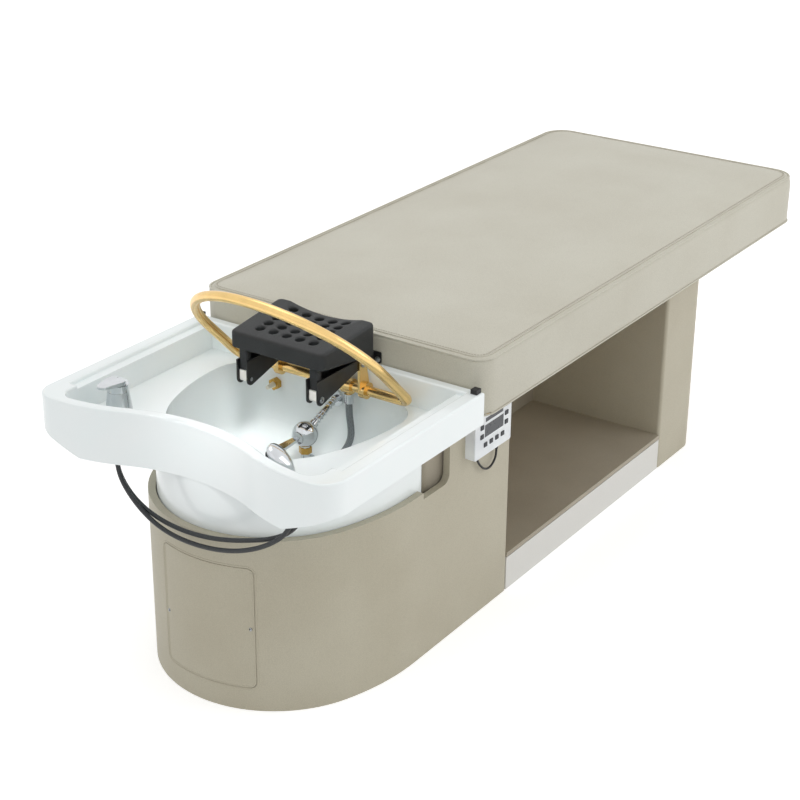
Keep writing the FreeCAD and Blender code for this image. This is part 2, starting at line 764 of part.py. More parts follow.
def door_battens():
    """Strips behind both sides of the access opening that take the panel's screws."""
    strips = []
    for name, middle in (("low_batten", door_low), ("high_batten", door_high)):
        body = new_body(name)
        strip = profile(body, f"{name}_outline", "XY", d.DoorBottom, nose_panel(
            d.ShellWall + d.BattenPlay, d.BattenDepth, middle - d.BattenWidth / 2,
            middle + d.BattenWidth / 2))
        pad(body, strip, d.DoorHeight)
        strips.append(body)
    screws = [screw_hole(f"batten_hole_{n}", y, z, d.Overrun) for n, (y, z) in enumerate(screw_places)]
    keep("door_battens", cut("door_battens_drilled", group("door_batten_pair", *strips), *screws))


screw_places = [
    (door_high - d.DoorScrewInset, d.DoorBottom + d.DoorHeight * 0.43),
    (door_low + d.DoorScrewInset, d.DoorBottom + d.DoorHeight * 0.5),
]


def screw_hole(name, across, up, extra):
    """A rod through the access panel into its batten."""
    start = nose_face(ZERO, across) - d.DoorScrewStand
    return rod(name, "x", start, across, up, d.DoorScrewRadius, d.DoorScrewLength + extra)


def access_panel():
    """Curved panel that closes the opening in the nose."""
    body = new_body("access_panel")
    strip = profile(body, "panel_outline", "XY", d.DoorBottom + d.DoorGap, nose_panel(
        ZERO, d.ShellWall, door_low + d.DoorGap, door_high - d.DoorGap))
    pad(body, strip, d.DoorHeight - d.DoorGap * 2)
    fillet(body, d.DoorCorner - d.DoorGap, lengthwise)
    holes = [screw_hole(f"panel_hole_{n}", y, z, ZERO) for n, (y, z) in enumerate(screw_places)]
    keep("access_panel", cut("access_panel_drilled", body, *holes))
    screws = [screw_hole(f"panel_screw_{n}", y, z, ZERO) for n, (y, z) in enumerate(screw_places)]
    keep("access_screws", group("access_screw_pair", *screws))


def cabinet_floor():
    """Floor board inside the head cabinet."""
    body = new_body("cabinet_floor")
    inset = d.ShellWall + d.SeatGap
    outline = profile(body, "floor_outline", "XY", 0, nose(inset, pillar_x - inset))
    pad(body, outline, d.BaseBoard)
    keep("cabinet_floor", body)


def tub_bearers():
    """Two timbers across the cabinet that carry the tub."""
    body = new_body("bearer_plan")
    outline = profile(body, "bearer_outline", "XY", d.TubBottom - d.BearerDepth, nose(
        d.ShellWall + d.BearerPlay, pillar_x - d.ShellWall))
    pad(body, outline, d.BearerDepth)
    timbers = []
    for name, shift in (("bearer_front", -d.BearerSpan), ("bearer_back", d.BearerSpan)):
        middle = drain_x + shift
        timbers.append(block(name, middle - d.BearerThickness / 2, middle + d.BearerThickness / 2,
                             -body_half, body_half, d.TubBottom - d.BearerDepth, d.TubBottom))
    keep("tub_bearers", common("tub_bearers_cut", group("bearer_pair", *timbers), body))


def storage_bay():
    """Open bay: its floor, back panel and plinth, with the closed panel on the far side."""
    back = near_wall + d.BayDepth
    keep("bay_floor", block("bay_floor", pillar_x, leg_x, near_wall, back,
                            d.ShelfTop - d.ShelfBoard, d.ShelfTop))
    keep("bay_back", block("bay_back", pillar_x, leg_x, back, back + d.BayBoard,
                           ZERO, d.FasciaBottom))
    keep("plinth_board", block("plinth_board", pillar_x, leg_x, near_wall, near_wall + d.PlinthBoard,
                               ZERO, d.ShelfTop - d.ShelfBoard - d.PlinthGap))
    keep("rear_panel", block("rear_panel", pillar_x, leg_x, body_half - d.ShellWall, body_half,
                             ZERO, d.FasciaBottom))


def foot_leg():
    """Hollow leg at the foot end of the bay, with round outer corners."""
    body = new_body("foot_leg")
    wall = d.ShellWall
    rounds = [(0, d.LegCorner), (wall, d.LegCorner - wall)]
    loops = []
    for inset, corner in rounds:
        near = near_wall + inset
        far = body_half - inset
        end = foot_x - inset
        loops.append([
            (leg_x + inset, near), (end - corner, near, corner, 1), (end, near + corner),
            (end, far - corner, corner, 1), (end - corner, far), (leg_x + inset, far),
        ])
    outline = profile(body, "leg_outline", "XY", 0, *loops)
    pad(body, outline, d.FasciaBottom)
    fillet(body, d.EdgeRound, lambda edge: upright(edge) and edge.BoundBox.XMax
           < leg_x.number + d.EdgeRound.number and edge.BoundBox.YMax < near_wall.number
           + d.EdgeRound.number)
    keep("foot_leg", body)


# Couch: timber frame, board and the upholstered cushion

frame_inset = d.CoverWall + d.FrameGap
frame_top = d.FasciaBottom + d.RailDepth
deck_board_top = frame_top + d.DeckBoard


def couch_outline(inset, corner):
    """Rounded outline of the couch, set in from its welt."""
    near = -half_width + inset
    far = half_width - inset
    return soft_rectangle(face - d.PipingOut + inset, couch_foot + d.PipingOut - inset, near, far, corner)


def bolt_rods(prefix, start, length, radius):
    """The four bolts of the headrest arms' flanges."""
    spread = d.FlangeWidth / 2 - d.FlangeHole * 2
    places = []
    for side in (-1, 1):
        for step in (-1, 1):
            places.append(arm_mid * side + spread * step)
    return [rod(f"{prefix}_{n}", "x", start, y, flange_bolt, radius, length)
            for n, y in enumerate(places)]


bolt_share = 2.5
flange_bolt = d.ArmTop - d.FlangeHeight + d.FlangeHole * bolt_share


def couch_frame():
    """Timber rails round the couch, with cross rails over the base's walls."""
    body = new_body("couch_frame")
    inset = d.PipingOut + frame_inset
    outer = couch_outline(inset, d.MattressCorner - inset)
    inner = couch_outline(inset + d.RailThickness, d.MattressCorner / 4)
    ring = profile(body, "rail_outline", "XY", d.FasciaBottom, outer, inner)
    pad(body, ring, d.RailDepth)
    inside = half_width - inset - d.RailThickness
    starts = [face + d.NotchBack, pillar_x - d.RailThickness, leg_x,
              foot_x - d.LegCorner - d.RailThickness]
    loops = [rectangle(start, start + d.RailThickness, -inside - d.Seat, inside + d.Seat)
             for start in starts]
    cross = profile(body, "cross_outline", "XY", d.FasciaBottom, *loops)
    pad(body, cross, d.RailDepth)
    holes = bolt_rods("rail_hole", face, d.BoltLength, d.FlangeHole)
    keep("couch_frame", cut("couch_frame_drilled", body, *holes))


def couch_deck():
    """Board over the rails that carries the foam."""
    body = new_body("couch_deck")
    inset = d.PipingOut + frame_inset
    outline = profile(body, "deck_outline", "XY", frame_top, couch_outline(inset, d.MattressCorner - inset))
    pad(body, outline, d.DeckBoard)
    keep("couch_deck", body)


def couch_cushion():
    """Upholstery over the frame: straight sides, a welt round the top edge and a crowned top."""
    body = new_body("couch_cushion")
    corner = d.MattressCorner
    sides = profile(body, "side_outline", "XY", d.FasciaBottom,
                    couch_outline(d.PipingOut, corner - d.PipingOut))
    pad(body, sides, d.MattressTop - d.FasciaBottom)
    welt = profile(body, "welt_outline", "XY", d.MattressTop - d.PipingDepth, couch_outline(ZERO, corner))
    pad(body, welt, d.PipingDepth)
    bead = d.PipingOut.number
    edge_levels = (d.MattressTop.number, d.MattressTop.number - d.PipingDepth.number)
    fillet(body, d.PipingOut * 0.9, lambda edge: at_level(edge, edge_levels)
           and outside_welt(edge, bead))
    levels = [(ZERO, ZERO), (d.CrownInset * 0.35, d.CrownRise * 0.62), (d.CrownInset, d.CrownRise)]
    sections = []
    for number, (inset, rise) in enumerate(levels):
        sections.append(profile(body, f"crown_{number}", "XY", d.MattressTop + rise, couch_outline(
            d.PipingOut * 2 + inset, corner + inset * 0.2)))
    crown = body.newObject("PartDesign::AdditiveLoft", "crown")
    crown.Profile = sections[0]
    crown.Sections = sections[1:]
    crown.Ruled = False
    for section in sections:
        section.Visibility = False
    inset = d.PipingOut + d.CoverWall
    hollow = profile(body, "hollow_outline", "XY", d.FasciaBottom,
                     couch_outline(inset, corner - inset))
    pocket(body, hollow, deck_board_top - d.FasciaBottom, reverse=True)
    holes = bolt_rods("cover_hole", face - d.Overrun, d.BoltLength, d.FlangeHole)
    keep("couch_cushion", cut("couch_cushion_drilled", body, *holes))


def at_level(edge, levels):
    """Whether an edge lies flat at one of some heights."""
    box = edge.BoundBox
    flat = box.ZLength < 0.001
    return flat and any(abs(box.ZMin - level) < 0.001 for level in levels)


def outside_welt(edge, bead):
    """Whether an edge of the couch lies on the welt's outside."""
    box = edge.BoundBox
    wide = max(abs(box.YMin), abs(box.YMax)) > half_width.number - bead / 2
    ends = box.XMin < face.number - bead / 2 or box.XMax > couch_foot.number + bead / 2
    return wide or ends


# Basin: one moulding with a waved front, stepped rims, corner decks and a deep tub

def basin_outline(inset):
    """Plan of the basin's rim: rounded front corners and a front that curves in to the nose."""
    near = -basin_half + inset
    far = basin_half - inset
    back = basin_back - inset
    shoulder = basin_half - d.BasinCorner
    wave = (shoulder * shoulder + d.FrontDip * d.FrontDip) / (d.FrontDip * 4)
    front = basin_front + inset
    bend = shoulder / 2
    mid = front + d.FrontDip / 2
    corner = d.BasinCorner - inset
    return [
        (back, near), (back, far), (front + corner, far, corner, 1), (front, shoulder, wave, 1),
        (mid, bend, wave, -1), (mid, -bend, wave, 1), (front, -shoulder, corner, 1),
        (front + corner, near),
    ]


def opening_outline(side, grow):
    """Plan of the opening inside the rims, whose front follows the rim's wave."""
    near = -basin_half + side - grow
    far = basin_half - side + grow
    shoulder = basin_half - d.BasinCorner
    wave = (shoulder * shoulder + d.FrontDip * d.FrontDip) / (d.FrontDip * 4)
    front = basin_front + d.RimFront - grow
    back = inner_back + grow
    bend = shoulder / 2
    mid = front + d.FrontDip / 2
    corner = d.DeckCorner + grow
    edge = far - corner
    drop = wave - root(wave * wave - (shoulder - edge) * (shoulder - edge))
    start = front + drop
    return [
        (back, near), (back, far), (start + corner, far, corner, 1), (start, edge, wave, 1),
        (mid, bend, wave, -1), (mid, -bend, wave, 1), (start, -edge, corner, 1),
        (start + corner, near),
    ]


def basin():
    """Rims, aprons, decks, skirt and tub in one piece."""
    body = new_body("basin")
    wall = d.BasinWall
    bottom = d.RimTop - d.ApronFront
    side_level = d.RimTop - d.ApronSide
    middle = basin_front + d.BasinReach / 2
    length = d.BasinReach + d.Overrun * 2
    block_outline = profile(body, "rim_outline", "XY", bottom, basin_outline(ZERO))
    pad(body, block_outline, d.ApronFront)
    opening = profile(body, "opening_outline", "XY", d.RimTop, opening_outline(d.RimSide, ZERO))
    pocket(body, opening, d.DeckDrop)
    ledge_start = basin_front + d.BasinCorner + d.RimFront
    inner = inner_half - d.Seat
    outer = inner_half + d.StepWidth
    ledges = profile(body, "ledge_outline", "XY", d.RimTop,
                     rectangle(ledge_start, inner_back, -outer, -inner),
                     rectangle(ledge_start, inner_back, inner, outer))
    pocket(body, ledges, d.StepDrop)
    under = profile(body, "under_outline", "XY", bottom, basin_outline(wall))
    pocket(body, under, d.ApronFront - d.DeckDrop - wall, reverse=True)
    low_channel = profile(body, "low_channel", "XY", deck_under, basin_outline(wall),
                          opening_outline(d.RimSide, wall))
    pocket(body, low_channel, d.RimTop - d.StepDrop - wall - deck_under, reverse=True)
    high_channel = profile(body, "high_channel", "XY", d.RimTop - d.StepDrop - wall - d.Seat,
                           basin_outline(wall), opening_outline(d.RimSide - d.StepWidth, wall))
    pocket(body, high_channel, d.StepDrop + d.Seat, reverse=True)
    slopes = []
    for side in (-1, 1):
        start = (basin_half - d.ApronSlope) * side
        end = (basin_half - wall) * side
        outside = (basin_half + d.Overrun) * side
        slopes.append([(start, bottom - d.Overrun), (start, bottom), (end, side_level),
                       (outside, side_level), (outside, bottom - d.Overrun)])
    sides = profile(body, "side_cut", "YZ", middle, *slopes)
    pocket(body, sides, length, both=True)
    back_cut = profile(body, "back_cut", "XZ", 0, rectangle(
        inner_back, face + d.Overrun, bottom - d.Overrun, side_level))
    pocket(body, back_cut, d.MattressWidth + d.Overrun, both=True)
    fillet(body, d.RimRound, lambda edge: at_level(edge, (d.RimTop.number,)))
    skirt_inner = tub_inset + wall
    tub_outside = skirt_inner + d.SkirtGap
    tub = profile(body, "tub_outline", "XY", d.TubBottom, nose(tub_outside, tub_back, d.TubCorner))
    pad(body, tub, deck_under - d.TubBottom + d.Seat)
    fillet(body, d.BowlRound + wall, lambda edge: at_level(edge, (d.TubBottom.number,)))
    skirt = profile(body, "skirt_outline", "XY", d.SkirtBottom,
                    nose(tub_inset, tub_back, d.SkirtCorner),
                    nose(skirt_inner, tub_back - wall, d.SkirtCorner - wall))
    pad(body, skirt, deck_under - d.SkirtBottom + d.Seat)
    bowl = new_body("bowl_form")
    hollow = profile(bowl, "bowl_outline", "XY", bowl_floor,
                     nose(tub_outside + wall, inner_back, d.TubCorner - wall))
    pad(bowl, hollow, deck_top - bowl_floor)
    fillet(bowl, d.BowlRound, lambda edge: at_level(edge, (bowl_floor.number,)))
    drilled = cut("basin_drilled", body, bowl,
                  rod("drain_hole", "z", drain_x, ZERO, d.TubBottom - d.Overrun, d.DrainRadius,
                      d.BasinWall + d.Overrun * 2),
                  rod("mixer_hole", "z", mixer_x, mixer_y, deck_under - d.Overrun, d.MixerShank,
                      d.BasinWall + d.Overrun * 2),
                  rod("handset_hole", "z", handset_x, handset_y, deck_under - d.Overrun,
                      d.SocketBore + d.SocketWall, d.BasinWall + d.Overrun * 2))
    keep("basin", drilled)


mixer_x = face - d.MixerAhead
mixer_y = basin_half - d.MixerInset
handset_x = face - d.HandsetAhead
handset_y = -(basin_half - d.HandsetInset)


def drain():
    """Strainer in the tub's floor and the bottle trap under it."""
    low = bowl_floor - d.DrainDepth
    flange = rod("drain_flange", "z", drain_x, ZERO, bowl_floor, d.DrainFlange, d.DrainWall)
    sleeve = rod("drain_sleeve", "z", drain_x, ZERO, low, d.DrainRadius, d.DrainDepth)
    bore = rod("drain_bore", "z", drain_x, ZERO, low + d.DrainWall,
               d.DrainRadius - d.DrainWall, d.DrainDepth + d.Overrun)
    holes = []
    for number in range(8):
        angle = math.radians(360 / 8 * number)
        holes.append(rod(f"strainer_hole_{number}", "z", drain_x + d.StrainerRing * math.cos(angle),
                         d.StrainerRing * math.sin(angle), low - d.Overrun, d.StrainerHole,
                         d.DrainWall + d.Overrun * 2))
    keep("drain_strainer", cut("drain_strainer_cut", fuse("drain_metal", flange, sleeve), bore, *holes))
    neck = rod("trap_neck", "z", drain_x, ZERO, low - d.TrapCup, d.TrapRadius, d.TrapCup)
    cup = rod("trap_cup", "z", drain_x, ZERO, low - d.TrapCup * 1.5, d.TrapBowl, d.TrapCup)
    outlet = rod("trap_outlet", "x", drain_x, ZERO, low - d.TrapCup * 0.8, d.TrapRadius * 0.8,
                 d.TrapCup * 2)
    keep("waste_trap", fuse("waste_trap_joined", neck, cup, outlet))


def bumpers():
    """Small rubber bumpers on the rim's back corners."""
    pair = []
    for name, side in (("bumper_near", -1), ("bumper_far", 1)):
        middle = (basin_half - d.RimRound - d.BumperWidth / 2 - d.Seat) * side
        pair.append(block(name, basin_back - d.RimRound - d.BumperLength, basin_back - d.RimRound,
                          middle - d.BumperWidth / 2, middle + d.BumperWidth / 2,
                          d.RimTop, d.RimTop + d.BumperHeight))
    keep("rim_bumpers", group("bumper_pair", *pair))


# Neck rest: its two channel arms, pins, hinge blocks and the perforated pad

def arm():
    """One channel arm from the couch to the hinge pin, open on top and at its front."""
    body = new_body("arm_near")
    dx = d.PinAhead - d.ArmTaper
    dz = d.ArmUnder - d.PinHeight
    reach = dx * dx + dz * dz
    along = d.PinEar * d.PinEar / reach
    across = d.PinEar * root(reach - d.PinEar * d.PinEar) / reach
    low_x = pin_x + along * dx + across * dz
    low_z = d.PinHeight + along * dz - across * dx
    taper_x = face - d.ArmTaper
    side = profile(body, "arm_side", "XZ", arm_mid, [
        (pin_x - d.PinEar, d.ArmTop), (face, d.ArmTop), (face, d.ArmUnder),
        (taper_x, d.ArmUnder), (low_x, low_z, d.PinEar, -1), (pin_x - d.PinEar, d.PinHeight),
    ])
    pad(body, side, d.ArmWidth, both=True)
    web_x = face - d.WebStart
    climb = (d.ArmUnder - low_z) / (taper_x - low_x)
    web_z = low_z + climb * (web_x - low_x)
    top = d.ArmTop + d.Overrun
    bottom = low_z - d.Overrun
    inside = profile(body, "arm_inside", "XZ", arm_mid, [
        (pin_x - d.PinEar - d.Overrun, bottom), (web_x, bottom), (web_x, web_z + d.ArmPlate),
        (taper_x, d.ArmUnder + d.ArmPlate), (face - d.ArmPlate, d.ArmUnder + d.ArmPlate),
        (face - d.ArmPlate, top), (pin_x - d.PinEar - d.Overrun, top),
    ])
    pocket(body, inside, d.ArmWidth - d.ArmPlate * 2, both=True)
    flange = profile(body, "arm_flange", "YZ", face - d.ArmPlate, soft_rectangle(
        -arm_mid - d.FlangeWidth / 2, -arm_mid + d.FlangeWidth / 2,
        d.ArmTop - d.FlangeHeight, d.ArmTop, d.ArmPlate))
    pad(body, flange, d.ArmPlate)
    pin_bore = rod("arm_pin_bore", "y", pin_x, -d.ArmOuter - d.Overrun, d.PinHeight,
                   d.PinRadius, d.ArmWidth + d.Overrun * 2)
    bolt_bore = rod("arm_bolt_bore", "y", clamp_bolt_x, -d.ArmOuter - d.Overrun, d.ClampBolt,
                    d.BoltRadius, d.ArmPlate + d.Overrun * 2)
    holes = bolt_rods("flange_hole", face - d.Overrun, d.BoltLength, d.FlangeHole)[:2]
    drilled = cut("arm_drilled", body, pin_bore, bolt_bore, *holes)
    keep("headrest_arms", group("arm_pair", drilled, mirrored("arm_far", drilled)))


clamp_bolt_x = face - d.ClampBoltAhead


def arm_fixings():
    """Screws of the arms' flanges and bolts of the hoop's bearings."""
    shanks = bolt_rods("flange_screw", face - d.ArmPlate, d.BoltLength + d.ArmPlate - d.Overrun,
                       d.FlangeHole)
    heads = bolt_rods("flange_head", face - d.ArmPlate - d.ScrewHead, d.ScrewHead, d.FlangeHole * 1.8)
    screws = [fuse(f"flange_fixing_{n}", a, b) for n, (a, b) in enumerate(zip(shanks, heads))]
    outer = d.ArmOuter + d.ClampPlate
    shank = rod("clamp_shank", "y", clamp_bolt_x, -outer, d.ClampBolt, d.BoltRadius,
                d.ClampPlate + d.ArmPlate)
    head = rod("clamp_head", "y", clamp_bolt_x, -outer - d.ScrewHead, d.ClampBolt, d.BoltHead,
               d.ScrewHead)
    bolt = fuse("clamp_fixing", head, shank)
    keep("arm_fixings", group("fixing_set", *screws, bolt, mirrored("clamp_fixing_far", bolt)))


def hinge_pins():
    """Clevis pins through the arms' ears."""
    shank = rod("pin_shank", "y", pin_x, -d.ArmOuter, d.PinHeight, d.PinRadius, d.ArmWidth)
    head = rod("pin_head", "y", pin_x, -d.ArmOuter - d.PinHeadHeight, d.PinHeight, d.PinHead,
               d.PinHeadHeight)
    pin = fuse("pin_near", head, shank)
    keep("hinge_pins", group("pin_pair", pin, mirrored("pin_far", pin)))


def hinge_blocks():
    """White blocks under the neck rest's legs that turn on the pins."""
    body = new_body("block_near")
    side = profile(body, "block_side", "XZ", arm_mid, [
        (pin_x - d.LegLength / 2, d.BlockTop),
        (pin_x - d.LegLength / 2, d.PinHeight, d.LegLength / 2, 1),
        (pin_x, d.PinHeight - d.LegLength / 2, d.LegLength / 2, 1),
        (pin_x + d.LegLength / 2, d.PinHeight), (pin_x + d.LegLength / 2, d.BlockTop),
    ])
    pad(body, side, d.LegWidth, both=True)
    bore = rod("block_bore", "y", pin_x, -d.ArmOuter, d.PinHeight, d.PinRadius + d.PinPlay, d.ArmWidth)
    drilled = cut("block_drilled", body, bore)
    keep("hinge_blocks", group("block_pair", drilled, mirrored("block_far", drilled)))


def rest_plan(inset):
    """Plan of the neck rest, wider at its back."""
    front = face - d.PadFront + inset
    back = face - d.PadBack - inset
    return [
        (front, d.PadHalfFront - inset), (front, -d.PadHalfFront + inset),
        (back, -d.PadHalfBack + inset), (back, d.PadHalfBack - inset),
    ]


def headrest_pad():
    """Moulded neck rest: skirts, a hollowed and perforated top, two legs and two rest ribs."""
    body = new_body("headrest_pad")
    front = face - d.PadFront
    back = face - d.PadBack
    high = d.PadTop + d.PadRise
    over = d.Overrun
    plan = profile(body, "rest_outline", "XY", d.PadUnderBack, rest_plan(ZERO))
    pad(body, plan, high - d.PadUnderBack)
    above = profile(body, "rest_top", "XZ", 0, [
        (front - over, d.PadTop), (front, d.PadTop), (back, high), (back + over, high),
        (back + over, high + over), (front - over, high + over),
    ])
    pocket(body, above, d.PadHalfBack * 2 + over, both=True)
    below = profile(body, "rest_under", "XZ", 0, [
        (front - over, d.PadUnderFront), (front + d.PadWall, d.PadUnderFront),
        (back - d.PadWall, d.PadUnderBack), (back - d.PadWall, d.PadUnderBack - over),
        (front - over, d.PadUnderBack - over),
    ])
    pocket(body, below, d.PadHalfBack * 2 + over, both=True)
    fillet(body, d.PadCorner, slanted_upright)
    half = d.PadHalfFront - d.PadHorn
    depth = d.PadRise - d.PadDish
    curve = (half * half + depth * depth) / (depth * 2)
    dish = profile(body, "rest_dish", "YZ", front - over, [
        (-half, high, curve, 1), (half, high), (half, high + over), (-half, high + over),
    ])
    pocket(body, dish, d.PadFront + over * 2, reverse=True)
    fillet(body, d.PadEdge, rest_rim)
    ceiling = d.PadTop - d.PadSkin
    hollow = profile(body, "rest_hollow", "XY", d.PadUnderBack - over, rest_plan(d.PadWall))
    pocket(body, hollow, ceiling - d.PadUnderBack + over, reverse=True)
    legs = profile(body, "rest_legs", "XY", d.BlockTop, *[
        rectangle(pin_x - d.LegLength / 2, pin_x + d.LegLength / 2,
                  arm_mid * side - d.LegWidth / 2, arm_mid * side + d.LegWidth / 2)
        for side in (-1, 1)])
    pad(body, legs, ceiling - d.BlockTop + d.Seat)
    rib_x = face - d.ClampBoltAhead
    rib_low = d.ArmTop + d.RestGap
    ribs = profile(body, "rest_ribs", "XY", rib_low, *[
        rectangle(rib_x - d.RibLength / 2, rib_x + d.RibLength / 2,
                  arm_mid * side - d.ArmWidth / 2, arm_mid * side + d.ArmWidth / 2)
        for side in (-1, 1)])
    pad(body, ribs, ceiling - rib_low + d.Seat)
    holes = []
    columns = int(d.HoleColumns.number)
    rows = int(d.HoleRows.number)
    for row in range(rows):
        for column in range(columns):
            shift = column - (columns - 1) / 2
            holes.append(rod(f"rest_hole_{row}_{column}", "z",
                             front + d.HoleFirst + d.HolePitchAlong * row, d.HolePitchAcross * shift,
                             ceiling - over, d.HoleRadius, high - ceiling + over * 2))
    keep("headrest_pad", cut("headrest_pad_drilled", body, group("rest_holes", *holes)))


def slanted_upright(edge):
    """Whether an edge is one of the neck rest's four upright corners."""
    return upright(edge) and edge.BoundBox.ZLength > d.PadUnderFront.number - d.PadUnderBack.number


def rest_rim(edge):
    """Whether an edge lies round the neck rest's top."""
    box = edge.BoundBox
    return box.ZMin > d.PadTop.number - 0.001 and not upright(edge)


# Rinse hoop: hollow tube that turns on its own bar in two bearings and a fed ring

def hoop_line(radius):
    """Solid round bar along the hoop's closed line, lying flat with its bar along Y at the origin."""
    half = d.HoopHalf.number
    leg = d.HoopLeg.number
    bend = d.HoopCorner.number
    straight = half - bend
    bar = Part.makeCylinder(radius, straight * 2, Vector(0, -straight, 0), Vector(0, 1, 0))
    pieces = []
    for side in (-1, 1):
        middle = Vector(bend, straight * side, 0)
        start = Vector(0, straight * side, 0)
        turn = Part.Arc(start, middle + Vector(-1, side, 0).normalize() * bend,
                        Vector(bend, half * side, 0))
        pieces.append(bent_rod(turn, radius, Vector(0, side, 0)))
        pieces.append(Part.makeCylinder(radius, leg - bend, Vector(bend, half * side, 0),
                                        Vector(1, 0, 0)))
    top = Part.Arc(Vector(leg, half, 0), Vector(leg + half, 0, 0), Vector(leg, -half, 0))
    pieces.append(bent_rod(top, radius, Vector(1, 0, 0)))
    return bar.multiFuse(pieces).removeSplitter()


def bent_rod(arc, radius, heading):
    """Round bar along one arc."""
    ring = Part.Wire([Part.Circle(arc.StartPoint, heading, radius).toShape()])
    return Part.Wire([arc.toShape()]).makePipeShell([ring], True, False)


def rinse_hoop():
    """The hoop with its row of spray holes, leaning up towards the head."""
    tube = hoop_line(d.HoopTube.number).cut(hoop_line(d.HoopBore.number))
    leg = d.HoopLeg.number
    half = d.HoopHalf.number
    count = int(d.SprayHoles.number)
    tilt = math.radians(d.HoopTilt.number)
    down = Vector(-math.sin(tilt), 0, -math.cos(tilt))
    holes = []
    for number in range(count):
        angle = math.pi * (number + 0.5) / count - math.pi / 2
        spot = Vector(leg + half * math.cos(angle), half * math.sin(angle), 0)
        holes.append(Part.makeCylinder(d.SprayRadius.number, d.HoopTube.number + d.Overrun.number,
                                       spot, down))
    feed = Part.makeCylinder(d.NippleRadius.number / 2, d.HoopTube.number + d.Overrun.number,
                             Vector(0, d.InletPlace.number, 0), down)
    thing = shape_part("rinse_hoop", tube.cut(holes + [feed]))
    along = Vector(-math.cos(tilt), 0, math.sin(tilt))
    upward = Vector(math.sin(tilt), 0, math.cos(tilt))
    thing.Placement = Placement(Vector(hoop_x.number, 0, d.HoopHeight.number),
                                Rotation(along, Vector(0, -1, 0), upward, "XYZ"))
    keep("rinse_hoop", thing)


def hoop_clamps():
    """Bearings that hang from the arms and hold the hoop's bar."""
    body = new_body("clamp_near")
    plate_mid = d.ArmOuter + d.ClampPlate / 2
    plate = profile(body, "clamp_plate", "XZ", plate_mid, link(
        clamp_bolt_x, d.ClampBolt, d.ClampTop, hoop_x, d.HoopHeight, d.ClampEye))
    pad(body, plate, d.ClampPlate, both=True)
    eye = rod("clamp_eye", "y", hoop_x, -d.ArmOuter - d.ClampWidth, d.HoopHeight, d.ClampEye,
              d.ClampWidth)
    bore = rod("clamp_bore", "y", hoop_x, -d.ArmOuter - d.ClampWidth - d.Overrun, d.HoopHeight,
               d.HoopTube + d.HoopPlay, d.ClampWidth + d.Overrun * 2)
    bolt = rod("clamp_bolt_bore", "y", clamp_bolt_x, -d.ArmOuter - d.ClampWidth, d.ClampBolt,
               d.BoltRadius, d.ClampWidth + d.Overrun)
    drilled = cut("clamp_drilled", fuse("clamp_joined", body, eye), bore, bolt)
    keep("hoop_clamps", group("clamp_pair", drilled, mirrored("clamp_far", drilled)))


def hoop_inlet():
    """Ring round the hoop's bar that takes the hose, with its nipple and the crimped ferrules."""
    near = -d.InletPlace - d.InletWidth / 2
    ring = rod("inlet_ring", "y", hoop_x, near, d.HoopHeight, d.InletRadius, d.InletWidth)
    nipple = rod("inlet_nipple", "-z", hoop_x, -d.InletPlace, d.HoopHeight - d.HoopTube - d.Seat,
                 d.NippleRadius, d.InletRadius + d.NippleLength - d.HoopTube - d.Seat)
    bore = rod("inlet_bore", "y", hoop_x, near - d.Overrun, d.HoopHeight, d.HoopTube + d.HoopPlay,
               d.InletWidth + d.Overrun * 2)
    keep("hoop_inlet", cut("hoop_inlet_cut", fuse("inlet_joined", ring, nipple), bore))
    upper = rod("ferrule_upper", "-z", hoop_x, -d.InletPlace, hose_top + d.FerruleLength,
                d.FerruleRadius, d.FerruleLength)
    elbow = rod("ferrule_elbow", "-z", valve_x, valve_y, nut_under, d.FerruleRadius, d.FerruleTail)
    bend = ball("ferrule_bend", valve_x, valve_y, nut_under - d.FerruleTail, d.FerruleRadius)
    doc.recompute()
    heading = hose_heading()
    centre = Vector(valve_x.number, valve_y.number, (nut_under - d.FerruleTail).number)
    arm_piece = Part.makeCylinder(d.FerruleRadius.number, d.FerruleArm.number, centre, heading)
    lower = shape_part("ferrule_lower", elbow.Shape.fuse([bend.Shape, arm_piece]))
    keep("hose_ferrules", group("ferrule_pair", upper, lower))


hose_top = d.HoopHeight - d.InletRadius - d.NippleLength - d.FerruleLength
valve_x = face - d.ValveAhead
valve_y = -d.ValveSide
nut_under = d.ValveHeight - d.ValveRadius - d.NutHeight


def hose_heading():
    """Way in which the hose leaves the elbow under the valve: towards the hoop's ring and down."""
    slope = math.radians(d.HoseFall.number)
    dx = (d.ValveAhead - d.HoopAhead).number
    dy = -(d.InletPlace - d.ValveSide).number
    span = math.hypot(dx, dy)
    return Vector(dx / span * math.cos(slope), dy / span * math.cos(slope), -math.sin(slope))


# Cords: routes in points, straight runs joined by tangent arcs

